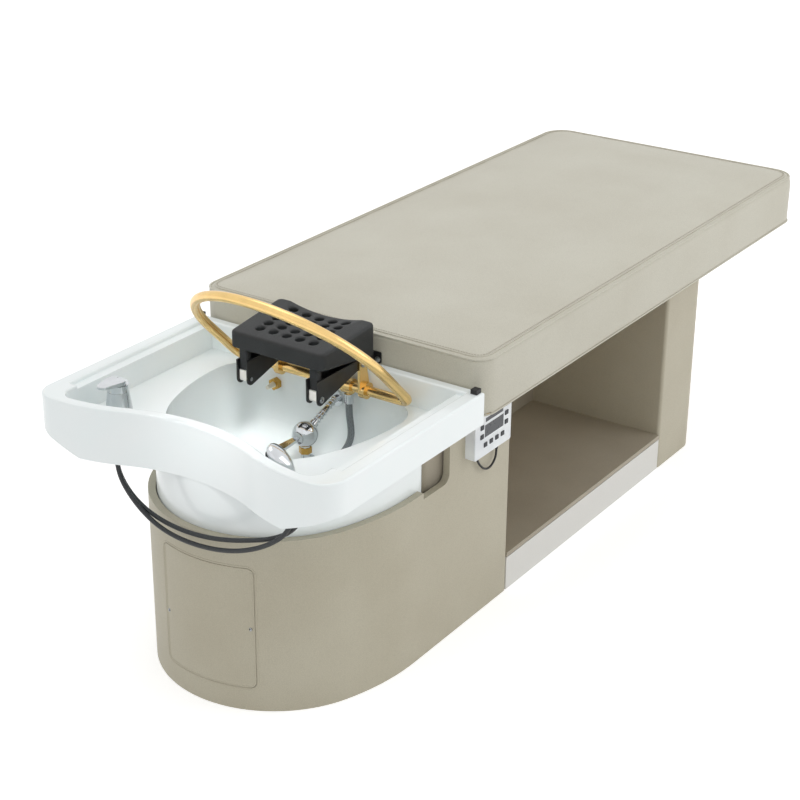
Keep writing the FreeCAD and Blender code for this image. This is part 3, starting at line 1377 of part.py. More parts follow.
def cord(name, points, radius):
    """A round cord along points, each bend as large as its two runs allow."""
    spots = [Vector(*point) for point in points]
    edges = []
    last = spots[0]
    radii = []
    for before, here, after in zip(spots, spots[1:], spots[2:]):
        inward = (before - here).normalize()
        outward = (after - here).normalize()
        turn = math.pi - inward.getAngle(outward)
        shorter = min((before - here).Length, (after - here).Length)
        bend_share = 0.45
        back = shorter * bend_share
        bend = back / math.tan(turn / 2)
        radii.append(round(bend / (radius * 2), 1))
        start = here + inward * back
        end = here + outward * back
        bisector = (inward + outward).normalize()
        centre = here + bisector * (bend / math.cos(turn / 2))
        edges.append(Part.LineSegment(last, start).toShape())
        edges.append(Part.Arc(start, centre - bisector * bend, end).toShape())
        last = end
    edges.append(Part.LineSegment(last, spots[-1]).toShape())
    path = Part.Wire(edges)
    ring = Part.Wire([Part.Circle(spots[0], spots[1] - spots[0], radius).toShape()])
    solid = path.makePipeShell([ring], True, False)
    share = solid.Volume / (math.pi * radius ** 2 * path.Length)
    print(name, "bend radii in diameters", radii, "length", round(path.Length), "volume share",
          round(share, 4))
    return shape_part(name, solid)


def shifted(points):
    """Route points given from the couch's head face, the middle plane and the floor."""
    return [(face.number + x, y, z) for x, y, z in points]


def rinse_hose():
    """Limp hose from the elbow under the valve, down in a bow and up to the hoop's ring."""
    heading = hose_heading()
    start = Vector(valve_x.number, valve_y.number, (nut_under - d.FerruleTail).number)
    start = start + heading * d.FerruleArm.number
    end = Vector(hoop_x.number, -d.InletPlace.number, hose_top.number)
    level = Vector(end.x - start.x, end.y - start.y, 0)
    span = level.Length
    level.normalize()
    rise = end.z - start.z
    route = [start, start + heading * (span * first_run_share)]
    for along, up in bow_shares:
        route.append(start + level * (span * along) + Vector(0, 0, rise * up))
    route.append(end - Vector(0, 0, rise * last_run_share))
    route.append(end)
    keep("rinse_hose", cord("rinse_hose", route, d.HoseRadius.number))


first_run_share = 0.24
last_run_share = 0.211
bow_shares = [(0.444, -0.136), (0.679, -0.096), (0.877, 0.012), (1.024, 0.186), (1.069, 0.393)]


# Valve on the tub's back wall, with its lever, and the plain spout beside it

def valve():
    """Wall plate, shank with its dome body, hexagon nut and the lever's cap."""
    plate = rod("valve_plate_disc", "-x", inner_back, valve_y, d.ShankHeight, d.PlateRadius, d.PlateDepth)
    bore = rod("valve_plate_bore", "-x", inner_back + d.Overrun, valve_y, d.ShankHeight,
               d.ShankRadius, d.PlateDepth + d.Overrun * 2)
    keep("valve_plate", cut("valve_plate_cut", plate, bore))
    stub = d.PlateDepth + d.ShankStub
    shank = rod("valve_shank", "-x", inner_back, valve_y, d.ShankHeight, d.ShankRadius, stub)
    elbow = ball("valve_elbow", inner_back - stub, valve_y, d.ShankHeight, d.ShankRadius)
    dome = ball("valve_dome", valve_x, valve_y, d.ValveHeight, d.ValveRadius)
    outlet = rod("valve_outlet", "-z", valve_x, valve_y, d.ValveHeight, d.NutRadius * outlet_share,
                 d.ValveRadius + d.Seat)
    centre = Vector(valve_x.number, valve_y.number, d.ValveHeight.number)
    rise = Vector((inner_back - stub).number, valve_y.number, d.ShankHeight.number) - centre
    neck = shape_part("valve_neck", Part.makeCylinder(d.NeckRadius.number, rise.Length, centre, rise))
    rise.normalize()
    collar_at = centre + rise * (d.ValveRadius - d.Seat * 2).number
    collar = shape_part("valve_collar", Part.makeCylinder(
        d.CollarRadius.number, d.CollarLength.number, collar_at, rise))
    keep("valve_body", fuse("valve_body_joined", shank, elbow, neck, collar, dome, outlet))
    nut = doc.addObject("Part::Prism", "valve_nut_hexagon")
    nut.Polygon = 6
    bind(nut, "Circumradius", d.NutRadius)
    bind(nut, "Height", d.NutHeight - d.Seat)
    place(nut, valve_x, valve_y, d.ValveHeight - d.ValveRadius - d.NutHeight)
    keep("valve_nut", nut)
    lever_cap()
    hexagon = doc.addObject("Part::Prism", "spout_hexagon")
    hexagon.Polygon = 6
    hexagon.Placement.Rotation = TURNS["-x"]
    bind(hexagon, "Circumradius", d.SpoutRadius)
    bind(hexagon, "Height", d.SpoutDepth)
    place(hexagon, inner_back, d.SpoutSide, d.SpoutHeight)
    keep("rinse_spout", hexagon)
    keep("spout_nozzle", cone("spout_nozzle", "-x", inner_back - d.SpoutDepth, d.SpoutSide,
                              d.SpoutHeight, d.NubRadius, d.NubRadius * 0.7, d.NubLength))


outlet_share = 0.8


def lever_cap():
    """Lever with a cap that slides round the dome's head side."""
    inner = d.ValveRadius + d.LeverCapGap
    outer = inner + d.LeverCapWall
    angle = math.radians(d.LeverCap.number)
    reach = outer * math.sin(angle)
    window = rod("cap_window", "-x", valve_x, valve_y, d.ValveHeight, reach, outer + d.Overrun)
    shell = common("lever_cap_shell", ball("cap_outside", valve_x, valve_y, d.ValveHeight, outer),
                   window)
    body = new_body("lever_blade")
    start = valve_x - outer * 0.8
    tip = valve_x - d.LeverLength
    blade = profile(body, "blade_outline", "XY", d.ValveHeight - d.LeverDepth / 2, [
        (start, valve_y - d.LeverWidth * 0.28), (start, valve_y + d.LeverWidth * 0.28),
        (tip + d.LeverWidth / 2, valve_y + d.LeverWidth / 2, d.LeverWidth / 2, 1),
        (tip, valve_y, d.LeverWidth / 2, 1),
        (tip + d.LeverWidth / 2, valve_y - d.LeverWidth / 2),
    ])
    pad(body, blade, d.LeverDepth)
    joined = cut("lever_level", fuse("lever_joined", shell, body),
                 ball("cap_inside", valve_x, valve_y, d.ValveHeight, inner))
    doc.recompute()
    centre = Vector(valve_x.number, valve_y.number, d.ValveHeight.number)
    turned = joined.Shape.copy()
    turned.rotate(centre, Vector(0, -1, 0), d.LeverFall.number)
    keep("valve_lever", shape_part("valve_lever", turned))


# Deck mixer and hand shower on the basin's front corners

mixer_joint_z = deck_top + d.MixerFoot + d.MixerJoint


def mixer():
    """Round foot, turning cap with a lug, and the lever that lifts on the lug's pin."""
    foot = cone("mixer_cone", "z", mixer_x, mixer_y, deck_top, d.MixerRadius, d.MixerNeck,
                d.MixerFoot)
    shank = rod("mixer_thread", "-z", mixer_x, mixer_y, deck_top + d.Seat, d.MixerShank,
                d.MixerShankLength)
    keep("mixer_foot", fuse("mixer_foot_joined", foot, shank))
    cap_top = mixer_joint_z + d.MixerCap
    cap = rod("mixer_cap_disc", "z", mixer_x, mixer_y, mixer_joint_z, d.MixerNeck, d.MixerCap)
    pin_at = mixer_x + d.MixerNeck * 0.4
    pin_z = cap_top + d.MixerLeverDepth / 2 + d.MixerJoint
    lug_half = d.MixerPin * 1.5
    lug = block("mixer_lug", pin_at - lug_half, pin_at + lug_half, mixer_y - lug_half,
                mixer_y + lug_half, cap_top - d.Seat, pin_z)
    crown = rod("mixer_lug_round", "y", pin_at, mixer_y - lug_half, pin_z, lug_half, lug_half * 2)
    bore = rod("mixer_lug_bore", "y", pin_at, mixer_y - d.MixerRadius, pin_z,
               d.MixerPin + d.PinPlay, d.MixerRadius * 2)
    keep("mixer_cap", cut("mixer_cap_drilled", fuse("mixer_cap_joined", cap, lug, crown), bore))
    tip = pin_at - d.MixerLeverLength + d.MixerLeverTip
    half_depth = d.MixerLeverDepth / 2
    side_body = new_body("mixer_lever_side")
    side = profile(side_body, "mixer_lever_profile", "XZ", -mixer_y, link(
        pin_at, pin_z, half_depth, tip - d.MixerLeverTip, pin_z + half_depth * 0.6, half_depth * 0.5))
    pad(side_body, side, d.MixerLeverWidth, both=True)
    plan_body = new_body("mixer_lever_plan")
    plan = profile(plan_body, "mixer_lever_outline", "XY", cap_top, link(
        pin_at - d.MixerLeverWidth * 0.35, mixer_y, d.MixerLeverWidth / 2, tip, mixer_y,
        d.MixerLeverTip))
    pad(plan_body, plan, d.MixerLeverDepth * 2)
    slot = block("mixer_lever_slot", pin_at - lug_half - d.MixerJoint, pin_at + d.MixerNeck,
                 mixer_y - lug_half - d.MixerJoint, mixer_y + lug_half + d.MixerJoint,
                 cap_top - d.Overrun, cap_top + d.MixerLeverDepth * 2)
    blade = cut("mixer_lever_blade", common("mixer_lever_form", side_body, plan_body), slot)
    pin = rod("mixer_lever_pin", "y", pin_at, mixer_y - lug_half * 2, pin_z, d.MixerPin,
              lug_half * 4)
    keep("mixer_lever", fuse("mixer_lever_joined", blade, pin))


def handset():
    """Hand shower standing in its socket in the deck."""
    ring = rod("socket_ring", "z", handset_x, handset_y, deck_top, d.SocketRadius, d.SocketHeight)
    tube = rod("socket_tube", "z", handset_x, handset_y, deck_top - d.SocketDepth,
               d.SocketBore + d.SocketWall, d.SocketDepth + d.Seat)
    bore = rod("socket_bore", "z", handset_x, handset_y, deck_top - d.SocketDepth - d.Overrun,
               d.SocketBore, d.SocketDepth + d.SocketHeight + d.Overrun * 2)
    keep("handset_socket", cut("handset_socket_cut", fuse("socket_joined", ring, tube), bore))
    low = deck_top - d.HandleDrop
    handle = rod("handset_handle", "z", handset_x, handset_y, low, d.HandleRadius,
                 d.HandleDrop + d.HandleRise)
    neck = cone("handset_neck", "z", handset_x, handset_y, deck_top + d.SocketHeight + d.RestGap,
                d.SocketRadius, d.HeadRadius, d.HandleRise - d.SocketHeight - d.RestGap)
    top = cone("handset_head", "z", handset_x, handset_y, deck_top + d.HandleRise, d.HeadRadius,
               d.HeadRadius * 0.8, d.HeadDepth)
    keep("hand_shower", fuse("hand_shower_joined", handle, neck, top))


def supply():
    """Two braided hoses that hang in front of the cabinet, and one that enters it, with ferrules."""
    ferrules = []
    level = deck_under
    for number, (x, y) in enumerate(supply_tops):
        ferrules.append(rod(f"supply_ferrule_{number}", "-z", face + x, as_size(y), level,
                            d.SupplyFerrule, d.SupplyFerruleLength))
    keep("supply_ferrules", group("supply_ferrule_set", *ferrules))
    start = (level - d.SupplyFerruleLength).number
    for name, points in supply_routes(start):
        keep(name, cord(name, shifted(points), d.SupplyRadius.number))


supply_tops = [(-454, 176), (-440, 190), (-456, -242), (-438, -248)]


def supply_routes(start):
    """Routes of the three hoses from the head face, the middle plane and the floor."""
    a, b, e, f = supply_tops
    return [
        ("supply_hose_front", [
            (*a, start), (*a, start - 28), (-460, 164, 438), (-466, 138, 413),
            (-470, 104, 389), (-473, 64, 371), (-474, 22, 362), (-474, -24, 360),
            (-473, -72, 364), (-471, -118, 374), (-468, -160, 390), (-465, -198, 412),
            (-461, -228, 438), (*e, start - 24), (*e, start),
        ]),
        ("supply_hose_back", [
            (*b, start), (*b, start - 26), (-448, 178, 440), (-455, 152, 415),
            (-460, 118, 395), (-462, 78, 381), (-463, 34, 374), (-463, -12, 373),
            (-462, -60, 378), (-460, -104, 387), (-457, -146, 399), (-452, -184, 411),
            (-446, -217, 428), (-441, -239, 450), (*f, start - 19), (*f, start),
        ]),
    ]


# Control box on the near wall, with its window, keys and cable

box_x = face + d.BoxAhead
box_face = near_wall - d.BoxDepth
box_split = near_wall - d.BoxBackDepth
window_x = box_x + d.BoxLength / 2 + d.WindowShift
window_z = d.BoxBottom + d.WindowRise


def key_places():
    """Middles of the eight keys: two at each side of the window and four below it."""
    side_z = window_z + d.KeySideRise
    places = []
    for name, side in (("left", -1), ("right", 1)):
        for level, step in (("upper", 0.5), ("lower", -0.5)):
            places.append((f"key_{name}_{level}", window_x + d.KeySideReach * side,
                           side_z + d.KeySidePitch * step))
    for number in range(4):
        places.append((f"key_row_{number + 1}", window_x + d.KeyRowPitch * (number - 1.5),
                       window_z - d.KeyRowDrop))
    return places


def control_box():
    """Two mouldings, a display window with a dark strip, and eight keys held by their collars."""
    end = box_x + d.BoxLength
    top = d.BoxBottom + d.BoxHeight
    for name, back, depth in (("box_back", near_wall, d.BoxBackDepth),
                              ("box_front", box_split, d.BoxDepth - d.BoxBackDepth)):
        body = new_body(name)
        outline = profile(body, f"{name}_outline", "XZ", -back, soft_rectangle(
            box_x, end, d.BoxBottom, top, d.BoxCorner))
        pad(body, outline, depth)
        hollow = profile(body, f"{name}_hollow", "XZ", -back, soft_rectangle(
            box_x + d.BoxWall, end - d.BoxWall, d.BoxBottom + d.BoxWall, top - d.BoxWall,
            d.BoxCorner - d.BoxWall))
        if name == "box_back":
            floor = profile(body, "box_room", "XZ", -back + d.BoxWall, soft_rectangle(
                box_x + d.BoxWall, end - d.BoxWall, d.BoxBottom + d.BoxWall, top - d.BoxWall,
                d.BoxCorner - d.BoxWall))
            pocket(body, floor, depth, reverse=True)
            body.removeObject(hollow)
            doc.removeObject(hollow.Name)
            gland = rod("box_gland_bore", "z", box_x + d.GlandPlace, cable_y, d.BoxBottom - d.Overrun,
                        d.CableRadius, d.BoxWall + d.Overrun * 2)
            entry = rod("box_cable_bore", "z", box_x + d.CableEnd, cable_y, d.BoxBottom - d.Overrun,
                        d.CableRadius, d.BoxWall + d.Overrun * 2)
            keep(name, cut("box_back_drilled", body, gland, entry))
        else:
            pocket(body, hollow, depth - d.BoxWall, reverse=True)
            fillet(body, d.BoxWall * 0.8, lambda edge: edge.BoundBox.YMax < box_face.number + 0.001)
            half_x = d.WindowLength / 2
            half_z = d.WindowHeight / 2
            window = block("window_recess", window_x - half_x, window_x + half_x,
                           box_face - d.Overrun, box_face + d.WindowGlass,
                           window_z - half_z, window_z + half_z)
            strip = block("strip_recess", window_x - d.BarLength / 2, window_x + d.BarLength / 2,
                          box_face - d.Overrun, box_face + d.WindowGlass / 2,
                          window_z + d.BarRise - d.BarHeight / 2,
                          window_z + d.BarRise + d.BarHeight / 2)
            openings = []
            for key_name, x, z in key_places():
                openings.append(key_block(f"{key_name}_opening", x, z, d.KeyPlay,
                                          box_face - d.Overrun, box_face + d.BoxWall + d.Overrun))
            keep(name, cut("box_front_cut", body, window, strip, *openings))
    glass = block("window_glass", window_x - d.WindowLength / 2, window_x + d.WindowLength / 2,
                  box_face, box_face + d.WindowGlass, window_z - d.WindowHeight / 2,
                  window_z + d.WindowHeight / 2)
    bar = block("window_strip", window_x - d.BarLength / 2, window_x + d.BarLength / 2,
                box_face, box_face + d.WindowGlass / 2, window_z + d.BarRise - d.BarHeight / 2,
                window_z + d.BarRise + d.BarHeight / 2)
    keep("box_window", group("window_pair", glass, bar))
    for name, x, z in key_places():
        stem = key_block(f"{name}_stem", x, z, ZERO, box_face - d.KeyStand,
                         box_face + d.BoxWall + d.RestGap + d.Seat / 2)
        collar = key_block(f"{name}_collar", x, z, d.KeyFlange, box_face + d.BoxWall + d.RestGap,
                           box_face + d.BoxWall + d.RestGap + d.KeyFlange)
        keep(name, fuse(f"{name}_joined", stem, collar))


def key_block(name, x, z, grow, front, back):
    """A key's outline between two depths, grown all round."""
    half_x = d.KeyLength / 2 + grow
    half_z = d.KeyHeight / 2 + grow
    return block(name, x - half_x, x + half_x, front, back, z - half_z, z + half_z)


cable_y = near_wall - d.BoxBackDepth * 0.6


def control_cable():
    """Strain relief and the cable that loops back under the box."""
    gland_x = box_x + d.GlandPlace
    keep("box_gland", cone("box_gland", "-z", gland_x, cable_y, d.BoxBottom, d.GlandRadius, d.GlandTip,
                           d.GlandLength))
    start = (d.BoxAhead + d.GlandPlace).number
    end = (d.BoxAhead + d.CableEnd).number
    top = (d.BoxBottom - d.GlandLength).number
    high = d.BoxBottom.number
    y = cable_y.number
    route = shifted([
        (start, y, top), (start, y, top - 9), (start - 5, y - 0.5, top - 20),
        (start - 17, y - 1, top - 29), (start - 32, y - 1, top - 32), (start - 48, y - 0.5, top - 26),
        (start - 62, y, top - 13), (start - 71, y, top - 1), (end, y, high - 9), (end, y, high),
    ])
    keep("control_cable", cord("control_cable", route, d.CableRadius.number))


cabinet_shell()
access_panel()
door_battens()
cabinet_floor()
tub_bearers()
storage_bay()
foot_leg()
couch_frame()
couch_deck()
couch_cushion()
basin()
drain()
bumpers()
arm()
arm_fixings()
hinge_pins()
hinge_blocks()
headrest_pad()
rinse_hoop()
hoop_clamps()
hoop_inlet()
rinse_hose()
valve()
mixer()
handset()
supply()
control_box()
control_cable()

# Check every object, then write one file for each sub-part
doc.recompute()
faults = [f"{o.Name}: {', '.join(o.State)}" for o in doc.Objects
          if "Invalid" in o.State or "Error" in o.State]
for name, thing in parts.items():
    shape = thing.Shape
    if shape.isNull() or not shape.isValid() or not shape.Solids:
        faults.append(f"{name} has no sound solid")
if faults:
    raise RuntimeError("; ".join(faults))
os.makedirs("parts", exist_ok=True)
for name, thing in parts.items():
    thing.Shape.exportStep(f"parts/{name}.step")
print(len(parts), "sub-parts written")
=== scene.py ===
"""Dressed model of the hair washing bed: finishes, sewn cover, cords, studio and camera."""

import json
import math

import bmesh
import bpy
from mathutils import Matrix, Vector, noise


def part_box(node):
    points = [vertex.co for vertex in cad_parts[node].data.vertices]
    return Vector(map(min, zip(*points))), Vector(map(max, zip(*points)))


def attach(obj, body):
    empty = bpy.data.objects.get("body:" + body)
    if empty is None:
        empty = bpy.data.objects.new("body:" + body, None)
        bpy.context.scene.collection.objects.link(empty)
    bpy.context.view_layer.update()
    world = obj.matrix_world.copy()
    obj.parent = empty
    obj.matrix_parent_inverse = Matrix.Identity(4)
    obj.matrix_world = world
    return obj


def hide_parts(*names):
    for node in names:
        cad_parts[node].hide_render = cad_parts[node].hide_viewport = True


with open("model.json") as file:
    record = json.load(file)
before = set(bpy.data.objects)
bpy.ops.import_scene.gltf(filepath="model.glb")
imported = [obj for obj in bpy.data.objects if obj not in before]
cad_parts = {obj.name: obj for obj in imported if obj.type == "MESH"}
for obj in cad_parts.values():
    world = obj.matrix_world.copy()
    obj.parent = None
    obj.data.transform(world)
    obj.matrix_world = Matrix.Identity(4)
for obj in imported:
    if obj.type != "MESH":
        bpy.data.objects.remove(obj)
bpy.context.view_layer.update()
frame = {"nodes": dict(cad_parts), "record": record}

MM = 0.001


# Colours and nodes

def linear(code):
    """Turn an sRGB hex code into the linear colour that a shader takes."""
    parts = [int(code[i:i + 2], 16) / 255 for i in (1, 3, 5)]
    bright = [c / 12.92 if c <= 0.04045 else ((c + 0.055) / 1.055) ** 2.4 for c in parts]
    return (*bright, 1.0)


def dimmed(colour, share):
    """The same colour with only a share of its light."""
    return tuple(c * share for c in colour[:3]) + (1.0,)


def node(tree, kind, settings=None, links=None):
    """Add one node; a link value that is a socket is joined and any other is typed in."""
    made = tree.nodes.new(kind)
    for name, value in (settings or {}).items():
        setattr(made, name, value)
    for name, value in (links or {}).items():
        socket = made.inputs[name]
        if isinstance(value, bpy.types.NodeSocket):
            tree.links.new(value, socket)
        else:
            socket.default_value = value
    return made


def finish(name, sockets):
    """A new material with one principled shader; returns its tree and shader."""
    material = bpy.data.materials.new(name)
    material.use_nodes = True
    tree = material.node_tree
    shader = tree.nodes["Principled BSDF"]
    for socket, value in sockets.items():
        shader.inputs[socket].default_value = value
    return material, tree, shader


def place_of(tree):
    """Object coordinates, in metres from the floor under the bed's middle."""
    return node(tree, "ShaderNodeTexCoord").outputs["Object"]


def mix_colours(tree, factor, first, second):
    """Mix two colours by a factor and return the result's socket."""
    mixed = node(tree, "ShaderNodeMix", {"data_type": "RGBA"})
    tree.links.new(factor, mixed.inputs[0])
    for socket, value in ((mixed.inputs[6], first), (mixed.inputs[7], second)):
        if isinstance(value, bpy.types.NodeSocket):
            tree.links.new(value, socket)
        else:
            socket.default_value = value
    return mixed.outputs[2]


def remap(tree, value, low, high, new_low, new_high):
    """Bring a value from one range into another."""
    ranged = node(tree, "ShaderNodeMapRange", None, {
        "Value": value, "From Min": low, "From Max": high, "To Min": new_low, "To Max": new_high})
    return ranged.outputs["Result"]


def relief(tree, shader, height, depth, strength):
    """Give the shader a bump from a height, with its real depth in metres."""
    bump = node(tree, "ShaderNodeBump", None, {"Height": height, "Distance": depth,
                                               "Strength": strength})
    tree.links.new(bump.outputs["Normal"], shader.inputs["Normal"])


# Finishes; the Scale of a noise or of cells is how many of them there are in a metre

# dark colour of the painted shade in the leatherette's embossed creases
LEATHER_CREASE_SHADE = "#4A4438"
ACRYLIC_BRIGHT = "#FBFFFF"
TIMBER_PORE = "#7A5B38"
BRAID_STARTS = 6


def leatherette(name, pale, deep, rough):
    """Embossed polyurethane leatherette on foam: dull, with a pebble grain and a soft sheen."""
    material, tree, shader = finish(name, {
        "Roughness": rough, "IOR": 1.5, "Sheen Weight": 0.08, "Sheen Roughness": 0.5,
        "Specular IOR Level": 0.4})
    place = place_of(tree)
    # hides vary slowly in tone, over about 200 mm
    cloud = node(tree, "ShaderNodeTexNoise", None, {"Vector": place, "Scale": 5.0, "Detail": 3.0})
    # the emboss is about 1 mm across and is drawn at 3 mm so that it shows
    pebble = node(tree, "ShaderNodeTexVoronoi", {"feature": "DISTANCE_TO_EDGE"}, {
        "Vector": place, "Scale": 330.0})
    ridge = remap(tree, pebble.outputs["Distance"], 0.0, 0.25, 0.0, 1.0)
    tone = mix_colours(tree, remap(tree, cloud.outputs["Fac"], 0.3, 0.7, 0.0, 1.0),
                       linear(deep), linear(pale))
    # the cells' edges are the emboss's creases, mixed a little towards the dark colour: painted
    # shade
    grain = mix_colours(tree, remap(tree, ridge, 0.0, 1.0, 0.12, 0.0), tone,
                        linear(LEATHER_CREASE_SHADE))
    tree.links.new(grain, shader.inputs["Base Color"])
    # the foam under it lets the hide drape in waves about 45 mm apart
    drape = node(tree, "ShaderNodeTexNoise", None, {"Vector": place, "Scale": 22.0, "Detail": 2.0})
    height = node(tree, "ShaderNodeMath", {"operation": "MULTIPLY_ADD"}, {
        0: drape.outputs["Fac"], 1: 4.0, 2: ridge})
    relief(tree, shader, height.outputs[0], 0.00022, 0.55)
    return material


def moulded_acrylic(name, white):
    """Vacuum formed acrylic of a basin: bright, smooth, with a faint ripple from its mould."""
    material, tree, shader = finish(name, {
        "Roughness": 0.2, "IOR": 1.49, "Coat Weight": 0.3, "Coat Roughness": 0.08})
    place = place_of(tree)
    ripple = node(tree, "ShaderNodeTexNoise", None, {"Vector": place, "Scale": 14.0, "Detail": 1.0})
    tone = mix_colours(tree, ripple.outputs["Fac"], linear(white), linear(ACRYLIC_BRIGHT))
    tree.links.new(tone, shader.inputs["Base Color"])
    # water marks dull it a little in places
    marks = node(tree, "ShaderNodeTexNoise", None, {"Vector": place, "Scale": 60.0, "Detail": 4.0})
    tree.links.new(remap(tree, marks.outputs["Fac"], 0.3, 0.75, 0.19, 0.22),
                   shader.inputs["Roughness"])
    relief(tree, shader, ripple.outputs["Fac"], 0.0006, 0.35)
    return material


def plated_metal(name, code, rough, streak, scale):
    """Polished or brushed metal: fine drawn lines carry the light unevenly."""
    colour = linear(code)
    material, tree, shader = finish(name, {
        "Metallic": 1.0, "Base Color": colour, "Roughness": rough})
    place = place_of(tree)
    drawn = node(tree, "ShaderNodeMapping", None, {"Vector": place, "Scale": scale})
    lines = node(tree, "ShaderNodeTexNoise", None, {"Vector": drawn.outputs[0], "Scale": 900.0,
                                                    "Detail": 3.0})
    tree.links.new(remap(tree, lines.outputs["Fac"], 0.3, 0.7, rough * (1 - streak),
                         rough * (1 + streak)), shader.inputs["Roughness"])
    # handling leaves slightly darker patches
    smear = node(tree, "ShaderNodeTexNoise", None, {"Vector": place, "Scale": 35.0, "Detail": 3.0})
    tree.links.new(mix_colours(tree, remap(tree, smear.outputs["Fac"], 0.35, 0.75, 0.0, 1.0),
                               colour, dimmed(colour, 0.90)), shader.inputs["Base Color"])
    relief(tree, shader, lines.outputs["Fac"], 0.00002, 0.15)
    return material


def moulded_plastic(name, code, rough, grain_mm, depth_mm):
    """Injection moulded plastic or powder coat: an even colour over a spark eroded grain."""
    material, tree, shader = finish(name, {"Roughness": rough, "IOR": 1.5})
    place = place_of(tree)
    grain = node(tree, "ShaderNodeTexNoise", None, {
        "Vector": place, "Scale": 1000.0 / grain_mm, "Detail": 3.0})
    base = linear(code)
    # hands and cloths rub it a little paler in patches
    worn = tuple(min(1.0, c * 1.25 + 0.004) for c in base[:3]) + (1.0,)
    rub = node(tree, "ShaderNodeTexNoise", None, {"Vector": place, "Scale": 18.0, "Detail": 3.0})
    tree.links.new(mix_colours(tree, remap(tree, rub.outputs["Fac"], 0.35, 0.75, 0.0, 1.0), base,
                               worn), shader.inputs["Base Color"])
    tree.links.new(remap(tree, grain.outputs["Fac"], 0.3, 0.7, rough * 0.85,
                         min(1.0, rough * 1.15)), shader.inputs["Roughness"])
    relief(tree, shader, grain.outputs["Fac"], depth_mm * MM, 0.5)
    return material


def sawn_timber(name, pale, dark):
    """Pine rails and plywood: long grain with darker late wood, planed and left raw."""
    material, tree, shader = finish(name, {"Roughness": 0.62, "IOR": 1.45})
    place = place_of(tree)
    drawn = node(tree, "ShaderNodeMapping", None, {"Vector": place, "Scale": (0.12, 1.0, 1.0)})
    # late wood in rings about 12 mm apart, which the distortion bends
    rings = node(tree, "ShaderNodeTexWave", {"wave_type": "RINGS"}, {
        "Vector": drawn.outputs[0], "Scale": 26.0, "Distortion": 6.0, "Detail": 2.0})
    pores = node(tree, "ShaderNodeTexNoise", None, {"Vector": drawn.outputs[0], "Scale": 420.0})
    wood = mix_colours(tree, rings.outputs["Fac"], linear(pale), linear(dark))
    flecks = mix_colours(tree, remap(tree, pores.outputs["Fac"], 0.55, 0.75, 0.0, 0.5), wood,
                         linear(TIMBER_PORE))
    tree.links.new(flecks, shader.inputs["Base Color"])
    relief(tree, shader, rings.outputs["Fac"], 0.0002, 0.4)
    return material


def faced_board(name, code):
    """Melamine faced board of the plinth: flat, light, with a faint paper mottle."""
    material, tree, shader = finish(name, {"Roughness": 0.42, "IOR": 1.5})
    place = place_of(tree)
    mottle = node(tree, "ShaderNodeTexNoise", None, {
        "Vector": place, "Scale": 300.0, "Detail": 4.0})
    base = linear(code)
    tree.links.new(mix_colours(tree, mottle.outputs["Fac"], base, dimmed(base, 0.93)),
                   shader.inputs["Base Color"])
    relief(tree, shader, mottle.outputs["Fac"], 0.00004, 0.4)
    return material


def braided_hose(name, dark, light, strand_mm, metallic):
    """Hose with a wire braid: two sets of strands cross in diamonds; their lighter colour is a
    painted highlight.
    """
    material, tree, shader = finish(name, {"Roughness": 0.34, "Metallic": metallic, "IOR": 1.5})
    along = node(tree, "ShaderNodeUVMap", {"uv_map": "run"})
    split = node(tree, "ShaderNodeSeparateXYZ", None, {"Vector": along.outputs["UV"]})
    waves = []
    for hand in (1.0, -1.0):
        lean = node(tree, "ShaderNodeMath", {"operation": "MULTIPLY_ADD"}, {
            0: split.outputs["Y"], 1: hand * 2 * math.pi * BRAID_STARTS,
            2: node(tree, "ShaderNodeMath", {"operation": "MULTIPLY"}, {
                0: split.outputs["X"], 1: 2 * math.pi / (strand_mm * MM)}).outputs[0]})
        waves.append(node(tree, "ShaderNodeMath", {"operation": "SINE"}, {
            0: lean.outputs[0]}).outputs[0])
    over = node(tree, "ShaderNodeMath", {"operation": "MAXIMUM"}, {0: waves[0], 1: waves[1]})
    weave_and_sheen = remap(tree, over.outputs[0], -0.3, 1.0, 0.0, 1.0)
    # the light colour on the strands is a painted highlight, the dark one the braid between them
    tree.links.new(mix_colours(tree, weave_and_sheen, linear(dark), linear(light)),
                   shader.inputs["Base Color"])
    relief(tree, shader, weave_and_sheen, 0.0004, 0.7)
    return material


